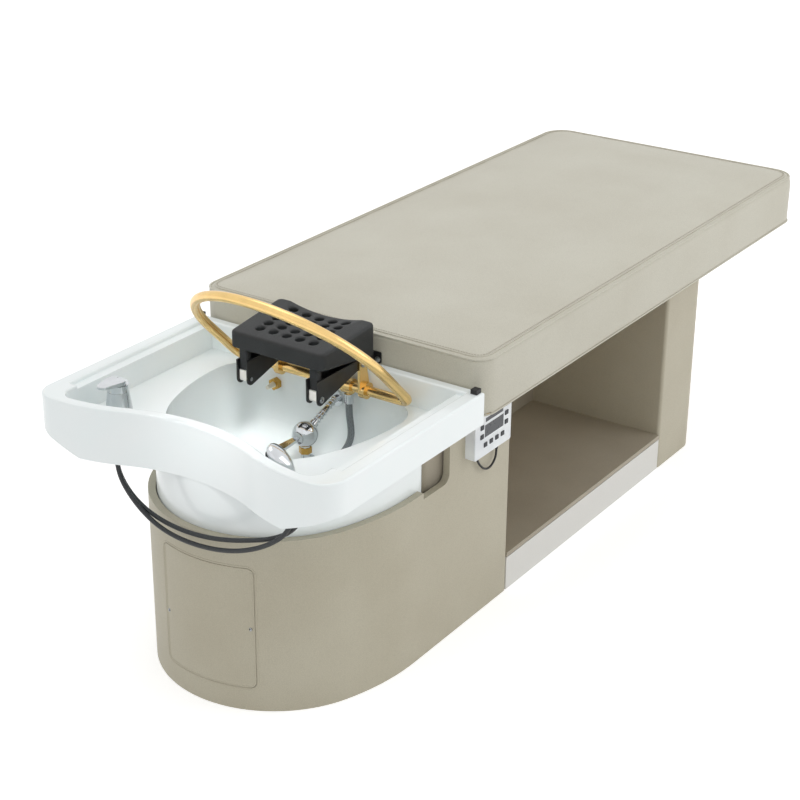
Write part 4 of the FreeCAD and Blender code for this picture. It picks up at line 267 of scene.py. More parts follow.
# sizes of grain and strands are in millimetres
FINISHES = {
    "upholstery": leatherette("leatherette_taupe", "#D1CEBF", "#CAC6B6", 0.52),
    # the base's copy is a shade darker than the couch's: painted shade on the base's sides
    "cabinet_leatherette_shaded": leatherette("leatherette_cabinet_shaded", "#C6C0AC", "#BEB7A2", 0.54),
    # a darker copy of the same leatherette for surfaces inside the recesses, painted shade; the
    # stitches and the notch sheets take it too
    "upholstery_inner": leatherette("leatherette_inside_shaded", "#B3AB99", "#A69D8B", 0.56),
    "timber": sawn_timber("pine_and_plywood", "#D9BD8C", "#B58F59"),
    "plinth": faced_board("melamine_plinth", "#E6E5E0"),
    "basin_white": moulded_acrylic("acrylic_white", "#F6FEFE"),
    "strainer_steel": plated_metal("stainless_strainer", "#B9BCBE", 0.28, 0.3, (1.0, 1.0, 0.1)),
    "trap_white": moulded_plastic("polypropylene_trap", "#DADBD8", 0.4, 2.0, 0.03),
    "bumper_rubber": moulded_plastic("epdm_rubber", "#1E1E1F", 0.62, 1.2, 0.05),
    "arm_black": moulded_plastic("powder_coat_black", "#111112", 0.44, 1.0, 0.04),
    "fixing_steel": plated_metal("zinc_plated_steel", "#A9ABAD", 0.3, 0.3, (1.0, 1.0, 1.0)),
    "block_white": moulded_plastic("acetal_white", "#E2E0DA", 0.36, 1.6, 0.02),
    "rest_grey": moulded_plastic("self_skinned_foam", "#1B1D1E", 0.58, 1.4, 0.07),
    "gold": plated_metal("anodised_gold", "#F3CF8C", 0.24, 0.12, (1.0, 1.0, 1.0)),
    "brass_raw": plated_metal("turned_brass", "#C9A055", 0.24, 0.3, (1.0, 1.0, 1.0)),
    "chrome": plated_metal("chrome_plate", "#D9DCDF", 0.11, 0.3, (1.0, 1.0, 1.0)),
    # the second colour of each hose is a painted highlight on its strands
    "hose_grey": braided_hose("hose_braid_grey", "#4C5153", "#868C8F", 3.0, 0.1),
    "hose_dark": braided_hose("hose_braid_dark", "#0A0B0C", "#393C3F", 3.2, 0.2),
    "nozzle_clear": moulded_plastic("nylon_nozzle", "#E4E2D2", 0.4, 1.5, 0.02),
    "box_grey": moulded_plastic("abs_box_grey", "#E2E6EA", 0.36, 1.3, 0.02),
    "window_dark": moulded_plastic("smoked_window", "#33373C", 0.3, 8.0, 0.002),
    "key_dark": moulded_plastic("silicone_key", "#2B2E32", 0.55, 1.2, 0.02),
    # the sheath is soft, dull and has a slight bloom
    "cable_black": moulded_plastic("pvc_sheath", "#0D0D0E", 0.5, 1.5, 0.03),
}

# the base gets a darker copy of the couch's leatherette, painted shade on its sides
WRAPPED_BASE = ("cabinet_shell", "access_panel", "rear_panel", "foot_leg")


def dress_cad_nodes():
    """Give every carried-over node the finish of its slot, and the base the darker copy of the
    leatherette, which is painted shade.
    """
    slots = {row["node"]: row["material_slot"] for row in frame["record"]["subparts"]}
    for name, thing in frame["nodes"].items():
        kind = "cabinet_leatherette_shaded" if name in WRAPPED_BASE else slots[name]
        for slot in thing.material_slots:
            slot.material = FINISHES[kind]


# Meshes

def shade_smooth(mesh):
    """Let the faces blend into one another."""
    for face in mesh.polygons:
        face.use_smooth = True


def mesh_from(work, name):
    """Point the faces outwards and turn the work into a mesh."""
    bmesh.ops.recalc_face_normals(work, faces=work.faces)
    mesh = bpy.data.meshes.new(name)
    work.to_mesh(mesh)
    work.free()
    return mesh


def loft(work, rings):
    """Join rings of points into a skin with closed ends."""
    count = len(rings[0])
    for low, high in zip(rings, rings[1:]):
        for k in range(count):
            after = (k + 1) % count
            work.faces.new((low[k], low[after], high[after], high[k]))
    work.faces.new(list(reversed(rings[0])))
    work.faces.new(rings[-1])


def heading_at(line, number):
    """The direction of a line at one of its points."""
    low = line[max(number - 1, 0)]
    high = line[min(number + 1, len(line) - 1)]
    return (high - low).normalized()


def new_piece(name, mesh, slot, body):
    """Put a finished mesh in the scene as a piece that rides on a body."""
    piece = bpy.data.objects.new(name, mesh)
    bpy.context.scene.collection.objects.link(piece)
    mesh.materials.append(FINISHES[slot])
    shade_smooth(mesh)
    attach(piece, body)
    return piece


def applied(piece):
    """Replace a piece's mesh by what its modifiers make of it."""
    graph = bpy.context.evaluated_depsgraph_get()
    mesh = bpy.data.meshes.new_from_object(piece.evaluated_get(graph))
    piece.modifiers.clear()
    old = piece.data
    piece.data = mesh
    bpy.data.meshes.remove(old)
    return mesh


# Cords: the part's own route points, in metres, as smooth splines

RINSE_HOSE = [
    (-0.6101, -0.0270, 0.3905), (-0.5949, -0.0345, 0.3799), (-0.5769, -0.0434, 0.3762),
    (-0.5593, -0.0521, 0.3804), (-0.5445, -0.0595, 0.3918), (-0.5335, -0.0649, 0.4100),
    (-0.5301, -0.0666, 0.4318), (-0.5353, -0.0640, 0.4733), (-0.5353, -0.0640, 0.4955),
]
SUPPLY_FRONT = [
    (-0.9463, 0.1760, 0.4940), (-0.9463, 0.1760, 0.4660), (-0.9523, 0.1640, 0.4380),
    (-0.9583, 0.1380, 0.4130), (-0.9623, 0.1040, 0.3890), (-0.9653, 0.0640, 0.3710),
    (-0.9663, 0.0220, 0.3620), (-0.9663, -0.0240, 0.3600), (-0.9653, -0.0720, 0.3640),
    (-0.9633, -0.1180, 0.3740), (-0.9603, -0.1600, 0.3900), (-0.9573, -0.1980, 0.4120),
    (-0.9533, -0.2280, 0.4380), (-0.9483, -0.2420, 0.4700), (-0.9483, -0.2420, 0.4940),
]
SUPPLY_BACK = [
    (-0.9323, 0.1900, 0.4940), (-0.9323, 0.1900, 0.4680), (-0.9403, 0.1780, 0.4400),
    (-0.9473, 0.1520, 0.4150), (-0.9523, 0.1180, 0.3950), (-0.9543, 0.0780, 0.3810),
    (-0.9553, 0.0340, 0.3740), (-0.9553, -0.0120, 0.3730), (-0.9543, -0.0600, 0.3780),
    (-0.9523, -0.1040, 0.3870), (-0.9493, -0.1460, 0.3990), (-0.9443, -0.1840, 0.4110),
    (-0.9383, -0.2170, 0.4280), (-0.9333, -0.2390, 0.4500), (-0.9303, -0.2480, 0.4750),
    (-0.9303, -0.2480, 0.4940),
]
CONTROL_CABLE = [
    (-0.3172, -0.2753, 0.3670), (-0.3172, -0.2753, 0.3580), (-0.3222, -0.2758, 0.3470),
    (-0.3342, -0.2763, 0.3380), (-0.3493, -0.2763, 0.3350), (-0.3653, -0.2758, 0.3410),
    (-0.3792, -0.2753, 0.3540), (-0.3882, -0.2753, 0.3660), (-0.3912, -0.2753, 0.3740),
    (-0.3912, -0.2753, 0.3830),
]


def spline_points(name, points):
    """Points along the smooth spline that has the route's points as its control points."""
    data = bpy.data.curves.new(name + "_line", "CURVE")
    data.dimensions = "3D"
    data.resolution_u = 12
    spline = data.splines.new("NURBS")
    spline.points.add(len(points) - 1)
    for point, spot in zip(spline.points, points):
        point.co = (*spot, 1.0)
    spline.order_u = 3
    spline.use_endpoint_u = True
    holder = bpy.data.objects.new(name + "_line", data)
    bpy.context.scene.collection.objects.link(holder)
    bpy.context.view_layer.update()
    mesh = bpy.data.meshes.new_from_object(holder.evaluated_get(
        bpy.context.evaluated_depsgraph_get()))
    line = [vertex.co.copy() for vertex in mesh.vertices]
    bpy.data.objects.remove(holder)
    bpy.data.meshes.remove(mesh)
    return line


def tube_mesh(name, line, radius, sides=16):
    """A closed tube along a line, with a map whose U is metres along it and V turns round it."""
    work = bmesh.new()
    chart = work.loops.layers.uv.new("run")
    rings = []
    lengths = [0.0]
    for before, after in zip(line, line[1:]):
        lengths.append(lengths[-1] + (after - before).length)
    heading = (line[1] - line[0]).normalized()
    side = heading.orthogonal().normalized()
    for number, spot in enumerate(line):
        new_heading = heading_at(line, number)
        side = heading.rotation_difference(new_heading) @ side
        heading = new_heading
        other = heading.cross(side)
        rings.append([work.verts.new(spot + (side * math.cos(a) + other * math.sin(a)) * radius)
                      for a in (2 * math.pi * k / sides for k in range(sides))])
    for number in range(len(rings) - 1):
        for k in range(sides):
            after = (k + 1) % sides
            face = work.faces.new((rings[number][k], rings[number][after],
                                   rings[number + 1][after], rings[number + 1][k]))
            turns = (k, k + 1, k + 1, k)
            runs = (number, number, number + 1, number + 1)
            for loop, turn, run in zip(face.loops, turns, runs):
                loop[chart].uv = (lengths[run], turn / sides)
    work.faces.new(list(reversed(rings[0])))
    work.faces.new(rings[-1])
    return mesh_from(work, name)


def cord_piece(name, points, diameter, slot, body, replaced):
    """One cord: its tube follows the route's spline."""
    line = spline_points(name, points)
    piece = new_piece(name, tube_mesh(name, line, diameter / 2), slot, body)
    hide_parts(replaced)


def cords():
    """Rinse hose, the two supply hoses in front of the tub, and the control cable."""
    cord_piece("rinse_hose_braid", RINSE_HOSE, 0.014, "hose_grey", "bed", "rinse_hose")
    cord_piece("supply_hose_front_braid", SUPPLY_FRONT, 0.009, "hose_dark", "bed",
               "supply_hose_front")
    cord_piece("supply_hose_back_braid", SUPPLY_BACK, 0.009, "hose_dark", "bed",
               "supply_hose_back")
    cord_piece("control_cable_sheath", CONTROL_CABLE, 0.0046, "cable_black", "bed",
               "control_cable")


# Couch cover: leatherette over foam, sewn to a side band along its top edge

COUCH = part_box("couch_cushion")
COVER_TOP = 0.636
COVER_LOW = 0.5143
HEAD_CORNER = 0.040
# the foot corners are rounder at the top than below, where the timber frame inside needs room
FOOT_CORNER = 0.046
FOOT_TOP_CORNER = 0.057
CORNER_START = 0.608
CORNER_RISE = 0.027
# the cushion's welt stands out this far, and the cover starts smaller so that it can swell
WELT_OUT = 0.0025
SLACK = 0.003
COVER_THICK = 0.003
COVER_VOXEL = 0.0075
OUTLINE_STEP = 0.008
# the top rises by the crown over its run in from the edge
CROWN = 0.005
CROWN_RUN = 0.12
# what is sewn or stapled and keeps still: the hem's height and the seam's width and depth
HEM_HIGH = 0.008
SEAM_WIDE = 0.009
SEAM_DEEP = 0.011
SWELL_MOST = 0.006
SWELL_FRAMES = 18
# heights of the gathers beside the seam and of the slow waves
GATHER = 0.0011
WAVE = 0.0009


def round_outline(x0, x1, y0, y1, head, foot, step):
    """Points round a rectangle with soft corners, evenly spaced; head and foot are their radii."""
    spots = []
    corners = [(x1 - foot, y1 - foot, 0, foot), (x0 + head, y1 - head, 90, head),
               (x0 + head, y0 + head, 180, head), (x1 - foot, y0 + foot, 270, foot)]
    for number, (cx, cy, start, radius) in enumerate(corners):
        bends = max(4, int(radius * math.pi / 2 / step))
        for k in range(bends + 1):
            angle = math.radians(start + 90 * k / bends)
            spots.append(Vector((cx + radius * math.cos(angle), cy + radius * math.sin(angle))))
        nx, ny, turn, reach = corners[(number + 1) % 4]
        angle = math.radians(turn)
        goal = Vector((nx + reach * math.cos(angle), ny + reach * math.sin(angle)))
        run = goal - spots[-1]
        count = max(1, int(run.length / step))
        start_spot = spots[-1]
        for k in range(1, count):
            spots.append(start_spot + run * (k / count))
    return spots


def edge_distance(x, y, box):
    """Distance in from the couch's soft-cornered outline."""
    x0, x1, y0, y1 = box
    radius = FOOT_CORNER if x > (x0 + x1) / 2 else HEAD_CORNER
    cx = max(x0 + radius - x, 0, x - (x1 - radius))
    cy = max(y0 + radius - y, 0, y - (y1 - radius))
    if cx > 0 and cy > 0:
        return radius - math.hypot(cx, cy)
    return min(x - x0, x1 - x, y - y0, y1 - y)


def cover_form(box, low, top):
    """Closed block with soft corners and a level top, remeshed in even small faces."""
    mesh = bpy.data.meshes.new("cover_form")
    work = bmesh.new()
    outline = round_outline(*box, HEAD_CORNER, FOOT_CORNER, OUTLINE_STEP)
    floor = [work.verts.new((p.x, p.y, low)) for p in outline]
    roof = [work.verts.new((p.x, p.y, top)) for p in outline]
    work.faces.new(list(reversed(floor)))
    work.faces.new(roof)
    for k in range(len(outline)):
        after = (k + 1) % len(outline)
        work.faces.new((floor[k], floor[after], roof[after], roof[k]))
    work.to_mesh(mesh)
    work.free()
    form = bpy.data.objects.new("cover_form", mesh)
    bpy.context.scene.collection.objects.link(form)
    remesh = form.modifiers.new("even", "REMESH")
    remesh.mode = "VOXEL"
    remesh.voxel_size = COVER_VOXEL
    applied(form)
    return form


def open_and_crown(form, box):
    """Take the cover's bottom off and raise its top in a low crown."""
    work = bmesh.new()
    work.from_mesh(form.data)
    under = [v for v in work.verts if v.co.z < COVER_LOW - 0.0005]
    bmesh.ops.delete(work, geom=under, context="VERTS")
    for vertex in work.verts:
        inside = edge_distance(vertex.co.x, vertex.co.y, box)
        if vertex.co.z > COVER_TOP - 0.006:
            share = min(1.0, max(0.0, inside) / CROWN_RUN)
            vertex.co.z += CROWN * (1 - (1 - share) ** 2)
    work.to_mesh(form.data)
    work.free()


def hold_seams(form, box):
    """Keep the cover still where it is sewn along its top edge and stapled along its hem."""
    held = form.vertex_groups.new(name="sewn")
    for vertex in form.data.vertices:
        inside = edge_distance(vertex.co.x, vertex.co.y, box)
        low = vertex.co.z < COVER_LOW + HEM_HIGH
        seam = inside < SEAM_WIDE and vertex.co.z > COVER_TOP - SEAM_DEEP
        if low or seam:
            held.add([vertex.index], 1.0, "REPLACE")


def couch_cover():
    """The cover, swollen by its foam between the seams, as cloth under pressure."""
    box = (COUCH[0][0] + WELT_OUT + SLACK, COUCH[1][0] - WELT_OUT - SLACK,
           COUCH[0][1] + SLACK, COUCH[1][1] - SLACK)
    form = cover_form(box, COVER_LOW - 0.004, COVER_TOP - 0.002)
    open_and_crown(form, box)
    hold_seams(form, box)
    rest = [v.co.copy() for v in form.data.vertices]
    swell(form, rest, SWELL_MOST)
    ripple_cover(form, box)
    round_foot(form, box)
    form.name = "couch_cover"
    form.data.name = "couch_cover"
    form.data.materials.clear()
    form.data.materials.append(FINISHES["upholstery"])
    shade_smooth(form.data)
    wall = form.modifiers.new("thickness", "SOLIDIFY")
    wall.thickness = COVER_THICK
    wall.offset = -1
    applied(form)
    form.vertex_groups.clear()
    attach(form, "bed")
    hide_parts("couch_cushion")
    return box


def swell(form, rest, most):
    """Run the cloth under the foam's pressure and cap how far any point moves."""
    scene = bpy.context.scene
    cloth = form.modifiers.new("foam", "CLOTH")
    cloth.settings.vertex_group_mass = "sewn"
    cloth.settings.use_pressure = True
    cloth.settings.uniform_pressure_force = 4.0
    cloth.settings.tension_stiffness = 25
    cloth.settings.compression_stiffness = 25
    cloth.settings.bending_stiffness = 1.5
    cloth.settings.quality = 4
    cloth.settings.effector_weights.gravity = 0
    cloth.collision_settings.use_collision = False
    for number in range(1, SWELL_FRAMES + 1):
        scene.frame_set(number)
    mesh = applied(form)
    for vertex, start in zip(mesh.vertices, rest):
        move = vertex.co - start
        if move.length > most:
            vertex.co = start + move * (most / move.length)
    scene.frame_set(1)


def ripple_cover(form, box):
    """Gather the cover a little beside its seam and let its top and sides wave slightly."""
    for vertex in form.data.vertices:
        inside = edge_distance(vertex.co.x, vertex.co.y, box)
        spot = vertex.co
        if spot.z > COVER_TOP - 0.012:
            near = math.exp(-((inside - 0.020) / 0.012) ** 2)
            pucker = noise.noise(Vector((spot.x * 26, spot.y * 26, 0.0)))
            broad = noise.noise(Vector((spot.x * 7, spot.y * 7, 4.0)))
            spot.z += GATHER * near * pucker
            spot.z += WAVE * broad * min(1.0, max(0.0, inside) / 0.05)
        elif spot.z > COVER_LOW + 0.006:
            drape = noise.noise(Vector((spot.x * 9, spot.y * 9, spot.z * 5)))
            at_end = abs(abs(spot.y) - box[3]) > 0.02
            outward = Vector((spot.x - (box[0] + box[1]) / 2, 0, 0)) if at_end \
                else Vector((0, spot.y, 0))
            spot += outward.normalized() * drape * WAVE


def round_foot(form, box):
    """Round the cover's two foot corners more towards the top, where the foam pulls them in."""
    gap = FOOT_TOP_CORNER - FOOT_CORNER
    for vertex in form.data.vertices:
        spot = vertex.co
        along = spot.x - (box[1] - FOOT_TOP_CORNER)
        across = abs(spot.y) - (box[3] - FOOT_TOP_CORNER)
        rise = min(1.0, max(0.0, (spot.z - CORNER_START) / CORNER_RISE))
        reach = math.hypot(along, across)
        if along <= 0 or across <= 0 or rise == 0:
            continue
        c, s = along / reach, across / reach
        # how far the tighter corner below lies this way from the rounder corner's centre
        if c * FOOT_TOP_CORNER < gap * s:
            edge = FOOT_TOP_CORNER / s
        elif s * FOOT_TOP_CORNER < gap * c:
            edge = FOOT_TOP_CORNER / c
        else:
            edge = gap * (c + s) + math.sqrt(gap ** 2 * (c + s) ** 2 - 2 * gap ** 2
                                             + FOOT_CORNER ** 2)
        pull = 1 - rise * rise * (3 - 2 * rise) * (1 - FOOT_TOP_CORNER / edge)
        side = 1 if spot.y > 0 else -1
        spot.x += along * (pull - 1)
        spot.y += side * across * (pull - 1)


def seam_line(box, inset, height, step, foot):
    """Points round the couch at a distance in from its outline."""
    x0, x1, y0, y1 = box
    flat = round_outline(x0 + inset, x1 - inset, y0 + inset, y1 - inset, HEAD_CORNER - inset,
                         foot - inset, step)
    return [Vector((p.x, p.y, height)) for p in flat]


def start_tree(name, sizes):
    """A Geometry Nodes tree with named inputs, which turns the piece's edges into curves."""
    tree = bpy.data.node_groups.new(name, "GeometryNodeTree")
    face = tree.interface
    face.new_socket("Geometry", in_out="INPUT", socket_type="NodeSocketGeometry")
    keys = {}
    for label, kind in (*sizes, ("Finish", "NodeSocketMaterial")):
        keys[label] = face.new_socket(label, in_out="INPUT", socket_type=kind).identifier
    face.new_socket("Geometry", in_out="OUTPUT", socket_type="NodeSocketGeometry")
    start = node(tree, "NodeGroupInput")
    line = node(tree, "GeometryNodeMeshToCurve", None, {"Mesh": start.outputs["Geometry"]})
    return tree, keys, start.outputs, line.outputs["Curve"]


def end_tree(tree, geometry, inputs):
    """Make what grew real, give it its finish and hand it out."""
    real = node(tree, "GeometryNodeRealizeInstances", None, {"Geometry": geometry})
    dressed = node(tree, "GeometryNodeSetMaterial", None, {
        "Geometry": real.outputs["Geometry"], "Material": inputs["Finish"]})
    node(tree, "NodeGroupOutput", None, {"Geometry": dressed.outputs["Geometry"]})


def sweep_tree():
    """Geometry Nodes: sweep a round bead along the piece's edges, with its radius as an input."""
    tree, keys, inputs, line = start_tree("bead_along_seam", (
        ("Radius", "NodeSocketFloat"), ("Sides", "NodeSocketInt")))
    ring = node(tree, "GeometryNodeCurvePrimitiveCircle", None, {
        "Radius": inputs["Radius"], "Resolution": inputs["Sides"]})
    bead = node(tree, "GeometryNodeCurveToMesh", None, {
        "Curve": line, "Profile Curve": ring.outputs["Curve"], "Fill Caps": True})
    end_tree(tree, bead.outputs["Mesh"], inputs)
    return tree, keys


def stitch_tree():
    """Geometry Nodes: small thread stitches at an even pitch along the piece's edges."""
    tree, keys, inputs, line = start_tree("stitches_along_seam", (
        ("Pitch", "NodeSocketFloat"), ("Length", "NodeSocketFloat"),
        ("Radius", "NodeSocketFloat")))
    spots = node(tree, "GeometryNodeCurveToPoints", {"mode": "LENGTH"}, {
        "Curve": line, "Length": inputs["Pitch"]})
    thread = node(tree, "GeometryNodeMeshCylinder", None, {
        "Vertices": 5, "Radius": inputs["Radius"], "Depth": inputs["Length"]})
    placed = node(tree, "GeometryNodeInstanceOnPoints", None, {
        "Points": spots.outputs["Points"], "Instance": thread.outputs["Mesh"],
        "Rotation": spots.outputs["Rotation"]})
    end_tree(tree, placed.outputs["Instances"], inputs)
    return tree, keys


def grown(name, lines, growth, sizes, slot, body, closed=True):
    """Run a node tree over lines of edges and keep the plain mesh that it makes."""
    tree, keys = growth
    mesh = bpy.data.meshes.new(name + "_edges")
    spots = []
    edges = []
    for line in lines:
        first = len(spots)
        spots.extend(tuple(p) for p in line)
        count = len(line)
        edges.extend((first + k, first + k + 1) for k in range(count - 1))
        if closed:
            edges.append((first + count - 1, first))
    mesh.from_pydata(spots, edges, [])
    holder = bpy.data.objects.new(name, mesh)
    bpy.context.scene.collection.objects.link(holder)
    modifier = holder.modifiers.new("growth", "NODES")
    modifier.node_group = tree
    for label, size in sizes.items():
        modifier[keys[label]] = size
    modifier[keys["Finish"]] = FINISHES[slot]
    bpy.context.view_layer.update()
    made = applied(holder)
    made.name = name
    shade_smooth(made)
    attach(holder, body)
    return holder


def couch_seams(box, beads):
    """The welt round the top edge, the flat seam beside it, the hem and the stitches."""
    # each row: how far in from the outline, height, point spacing, foot corner, radius, sides
    rows = {
        "couch_welt": (0.0016, COVER_TOP - 0.0030, 0.010, FOOT_TOP_CORNER, 0.0021, 10),
        "couch_flat_seam": (0.0125, COVER_TOP - 0.0005, 0.010, FOOT_TOP_CORNER, 0.0013, 8),
        "couch_hem": (-0.0006, COVER_LOW + 0.0035, 0.012, FOOT_CORNER, 0.0018, 8),
    }
    for name, (inset, height, step, foot, radius, sides) in rows.items():
        grown(name, [seam_line(box, inset, height, step, foot)], beads,
              {"Radius": radius, "Sides": sides}, "upholstery", "bed")
    thread = seam_line(box, 0.0165, COVER_TOP + 0.0014, 0.010, FOOT_TOP_CORNER)
    grown("couch_stitches", [thread], stitch_tree(),
          {"Pitch": 0.006, "Length": 0.0042, "Radius": 0.0005}, "upholstery_inner", "bed")


# Cabinet: welt round the access panel

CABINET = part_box("cabinet_shell")
NOSE_ROUND = 0.250
# the panel's lowest and highest reach across and up
DOOR_EDGES = (-0.117, 0.091, 0.050, 0.312)
DOOR_CORNER = 0.014
# one bead on the panel's own edge and one on the cabinet's, either side of the joint
DOOR_INSETS = (0.0024, -0.0026)
DOOR_STEP = 0.006
# how far the beads' middles lie inside the leatherette's face
BEAD_SINK = 0.0009


def nose_spot(across, height, out):
    """A point on the cabinet's round nose, some way out from its leatherette."""
    centre = CABINET[0][0] + NOSE_ROUND
    reach = NOSE_ROUND + out
    angle = math.asin(across / NOSE_ROUND)
    return Vector((centre - reach * math.cos(angle), reach * math.sin(angle), height))


def panel_welt(beads):
    """The wrapped edge of the access panel, a soft bead that stands out beside its joint."""
    y0, y1, z0, z1 = DOOR_EDGES
    lines = []
    for inset in DOOR_INSETS:
        corner = DOOR_CORNER - inset
        flat = round_outline(y0 + inset, y1 - inset, z0 + inset, z1 - inset, corner, corner,
                             DOOR_STEP)
        lines.append([nose_spot(p.x, p.y, -BEAD_SINK) for p in flat])
    welt = grown("access_panel_welt", lines, beads, {"Radius": 0.0019, "Sides": 8}, "upholstery",
                 "bed")
    # the welt takes the base's darker copy, painted shade like the rest of the base
    welt.material_slots[0].material = FINISHES["cabinet_leatherette_shaded"]


# Notch beside the tub: a sheet of the darker inside leatherette inside the cabinet's wall, painted
# shade of the recess

# the board's line from front to back, as reach along and across, and its rows of points
SHADE_SHEET_PLAN = ((-0.5520, 0.2490), (-0.5300, 0.2500), (-0.4720, 0.2505))
SHADE_SHEET_HEIGHTS = (0.350, 0.43, 0.5135)
SHADE_SHEET_THICK = 0.0014


def notch_shade_sheet():
    """A thin curved sheet inside each side notch, which closes the view into the cabinet and stands
    in for the recess's shade.
    """
    work = bmesh.new()
    for side in (-1, 1):
        rows = [[work.verts.new((x, y * side, z)) for z in SHADE_SHEET_HEIGHTS] for x, y in SHADE_SHEET_PLAN]
        for left, right in zip(rows, rows[1:]):
            for k in range(len(SHADE_SHEET_HEIGHTS) - 1):
                work.faces.new((left[k], right[k], right[k + 1], left[k + 1]))
    piece = new_piece("notch_shade_sheet", mesh_from(work, "notch_shade_sheet"), "upholstery_inner", "bed")
    wall = piece.modifiers.new("thickness", "SOLIDIFY")
    wall.thickness = SHADE_SHEET_THICK
    wall.offset = 0.0
    applied(piece)


# Neck rest: the pad's edges and holes roll over softly, as a moulded skin does

SKIN_VOXEL = 0.0018
SKIN_PASSES = 12


def neck_pad():
    """A remeshed and smoothed copy of the pad's solid, which keeps its place and its holes."""
    work = bmesh.new()
    work.from_mesh(frame["nodes"]["headrest_pad"].data)
    bmesh.ops.remove_doubles(work, verts=work.verts, dist=0.00001)
    mesh = bpy.data.meshes.new("neck_pad")
    work.to_mesh(mesh)
    work.free()
    pad = new_piece("neck_pad", mesh, "rest_grey", "neck_rest")
    skin = pad.modifiers.new("skin", "REMESH")
    skin.mode = "VOXEL"
    skin.voxel_size = SKIN_VOXEL
    roll = pad.modifiers.new("roll", "SMOOTH")
    roll.factor = 0.5
    roll.iterations = SKIN_PASSES
    made = applied(pad)
    made.materials.clear()
    made.materials.append(FINISHES["rest_grey"])
    shade_smooth(made)
    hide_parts("headrest_pad")


# Hand shower: one flowing chrome body with a dark spray plate

SHOWER_FOOT = Vector((-0.90825, -0.205, 0.516))
SHOWER_LEAN = Vector((-0.35, 0.94, 0.0)).normalized()
SHOWER_SIDES = 28
# each row: how far it leans over, height above the foot, half width, half depth
SHOWER_SPINE = (
    (0.000, -0.034, 0.0100, 0.0100), (0.000, -0.030, 0.0113, 0.0113),
    (0.000, 0.000, 0.0114, 0.0114), (0.000, 0.012, 0.0114, 0.0114),
    (0.0015, 0.021, 0.0130, 0.0125), (0.005, 0.029, 0.0165, 0.0135),
    (0.010, 0.037, 0.0205, 0.0140), (0.016, 0.045, 0.0235, 0.0135),
    (0.0225, 0.0525, 0.0245, 0.0120), (0.029, 0.0595, 0.0230, 0.0100),
    (0.0345, 0.0655, 0.0175, 0.0075), (0.0375, 0.0690, 0.0080, 0.0040),
)
# the spray plate sits on this ring of the spine and has these half widths
PLATE_RING = 8
PLATE_HALF = (0.0185, 0.0165)
# each row of the plate: its share of the full outline and how far out from the head's middle
PLATE_ROWS = ((1.0, 0.0095), (0.97, 0.0128), (0.90, 0.0138), (0.5, 0.0142))
# each ring of nozzles: its radius and how many there are
NOZZLE_RINGS = ((0.0035, 5), (0.008, 10), (0.0125, 16))
NOZZLE_OVAL = (1.05, 0.92)
NOZZLE_OUT = 0.0144


def hand_shower():
    """The hand shower in its socket: a straight handle that widens into a leaning oval head."""
    across = Vector((0, 0, 1)).cross(SHOWER_LEAN)
    spine = [SHOWER_FOOT + SHOWER_LEAN * lean + Vector((0, 0, up))
             for lean, up, wide, deep in SHOWER_SPINE]
    work = bmesh.new()
    rings = []
    for number, (spot, row) in enumerate(zip(spine, SHOWER_SPINE)):
        wide, deep = row[2:]
        front = heading_at(spine, number).cross(across)
        rings.append([work.verts.new(spot + across * math.cos(a) * wide
                                     + front * math.sin(a) * deep)
                      for a in (2 * math.pi * k / SHOWER_SIDES for k in range(SHOWER_SIDES))])
    loft(work, rings)
    body = new_piece("hand_shower_body", mesh_from(work, "hand_shower_body"), "chrome", "handset")
    smooth = body.modifiers.new("smooth", "SUBSURF")
    smooth.levels = 2
    smooth.render_levels = 2
    applied(body)
    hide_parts("hand_shower")
    spray_plate(spine[PLATE_RING], heading_at(spine, PLATE_RING), across)


def spray_plate(middle, heading, across):
    """Dark oval plate on the head's under side, with rings of small nozzles."""
    outward = across.cross(heading).normalized()
    if outward.z > 0:
        outward = -outward
    work = bmesh.new()
    half_across, half_along = PLATE_HALF
    rows = []
    for share, height in PLATE_ROWS:
        rows.append([work.verts.new(middle + across * math.cos(a) * half_across * share
                                    + heading * math.sin(a) * half_along * share
                                    + outward * height)
                     for a in (2 * math.pi * k / SHOWER_SIDES for k in range(SHOWER_SIDES))])
    loft(work, rows)
    turn = outward.to_track_quat("Z", "Y").to_matrix().to_4x4()
    wide, deep = NOZZLE_OVAL
    for reach, count in NOZZLE_RINGS:
        for k in range(count):
            angle = 2 * math.pi * k / count
            spot = middle + (across * math.cos(angle) * wide + heading * math.sin(angle) * deep) \
                * reach + outward * NOZZLE_OUT
            bmesh.ops.create_cone(work, cap_ends=True, segments=6, radius1=0.0011, radius2=0.0006,
                                  depth=0.0016, matrix=Matrix.Translation(spot) @ turn)
    new_piece("spray_plate", mesh_from(work, "spray_plate"), "key_dark", "handset")


# Small metal details: rings of the valve's neck, and dark crosses painted as the shade in the
# screws' cross recesses

NECK_WALL = Vector((-0.52565, -0.021, 0.488))
NECK_DOME = Vector((-0.62225, -0.021, 0.449))
NECK_SHARES = (0.10, 0.20, 0.40, 0.50, 0.60)
NECK_RADIUS = 0.0066
# each panel screw: its place across the nose and its height
PANEL_SCREWS = ((0.082, 0.16266), (-0.108, 0.181))
SCREW_PROUD = 0.0006
PIN_HEAD = (-0.67025, 0.1000, 0.560)


def ring_round(middle, axis, radius, count=20):
    """Points of a circle round an axis."""
    side = axis.orthogonal().normalized()
    other = axis.cross(side).normalized()
    turns = (2 * math.pi * k / count for k in range(count))
    return [middle + (side * math.cos(a) + other * math.sin(a)) * radius for a in turns]


def valve_rings(beads):
    """Turned rings along the valve's slanting neck."""
    axis = (NECK_DOME - NECK_WALL).normalized()
    lines = [ring_round(NECK_WALL.lerp(NECK_DOME, share), axis, NECK_RADIUS)
             for share in NECK_SHARES]
    grown("valve_neck_rings", lines, beads, {"Radius": 0.0017, "Sides": 10}, "chrome", "bed")


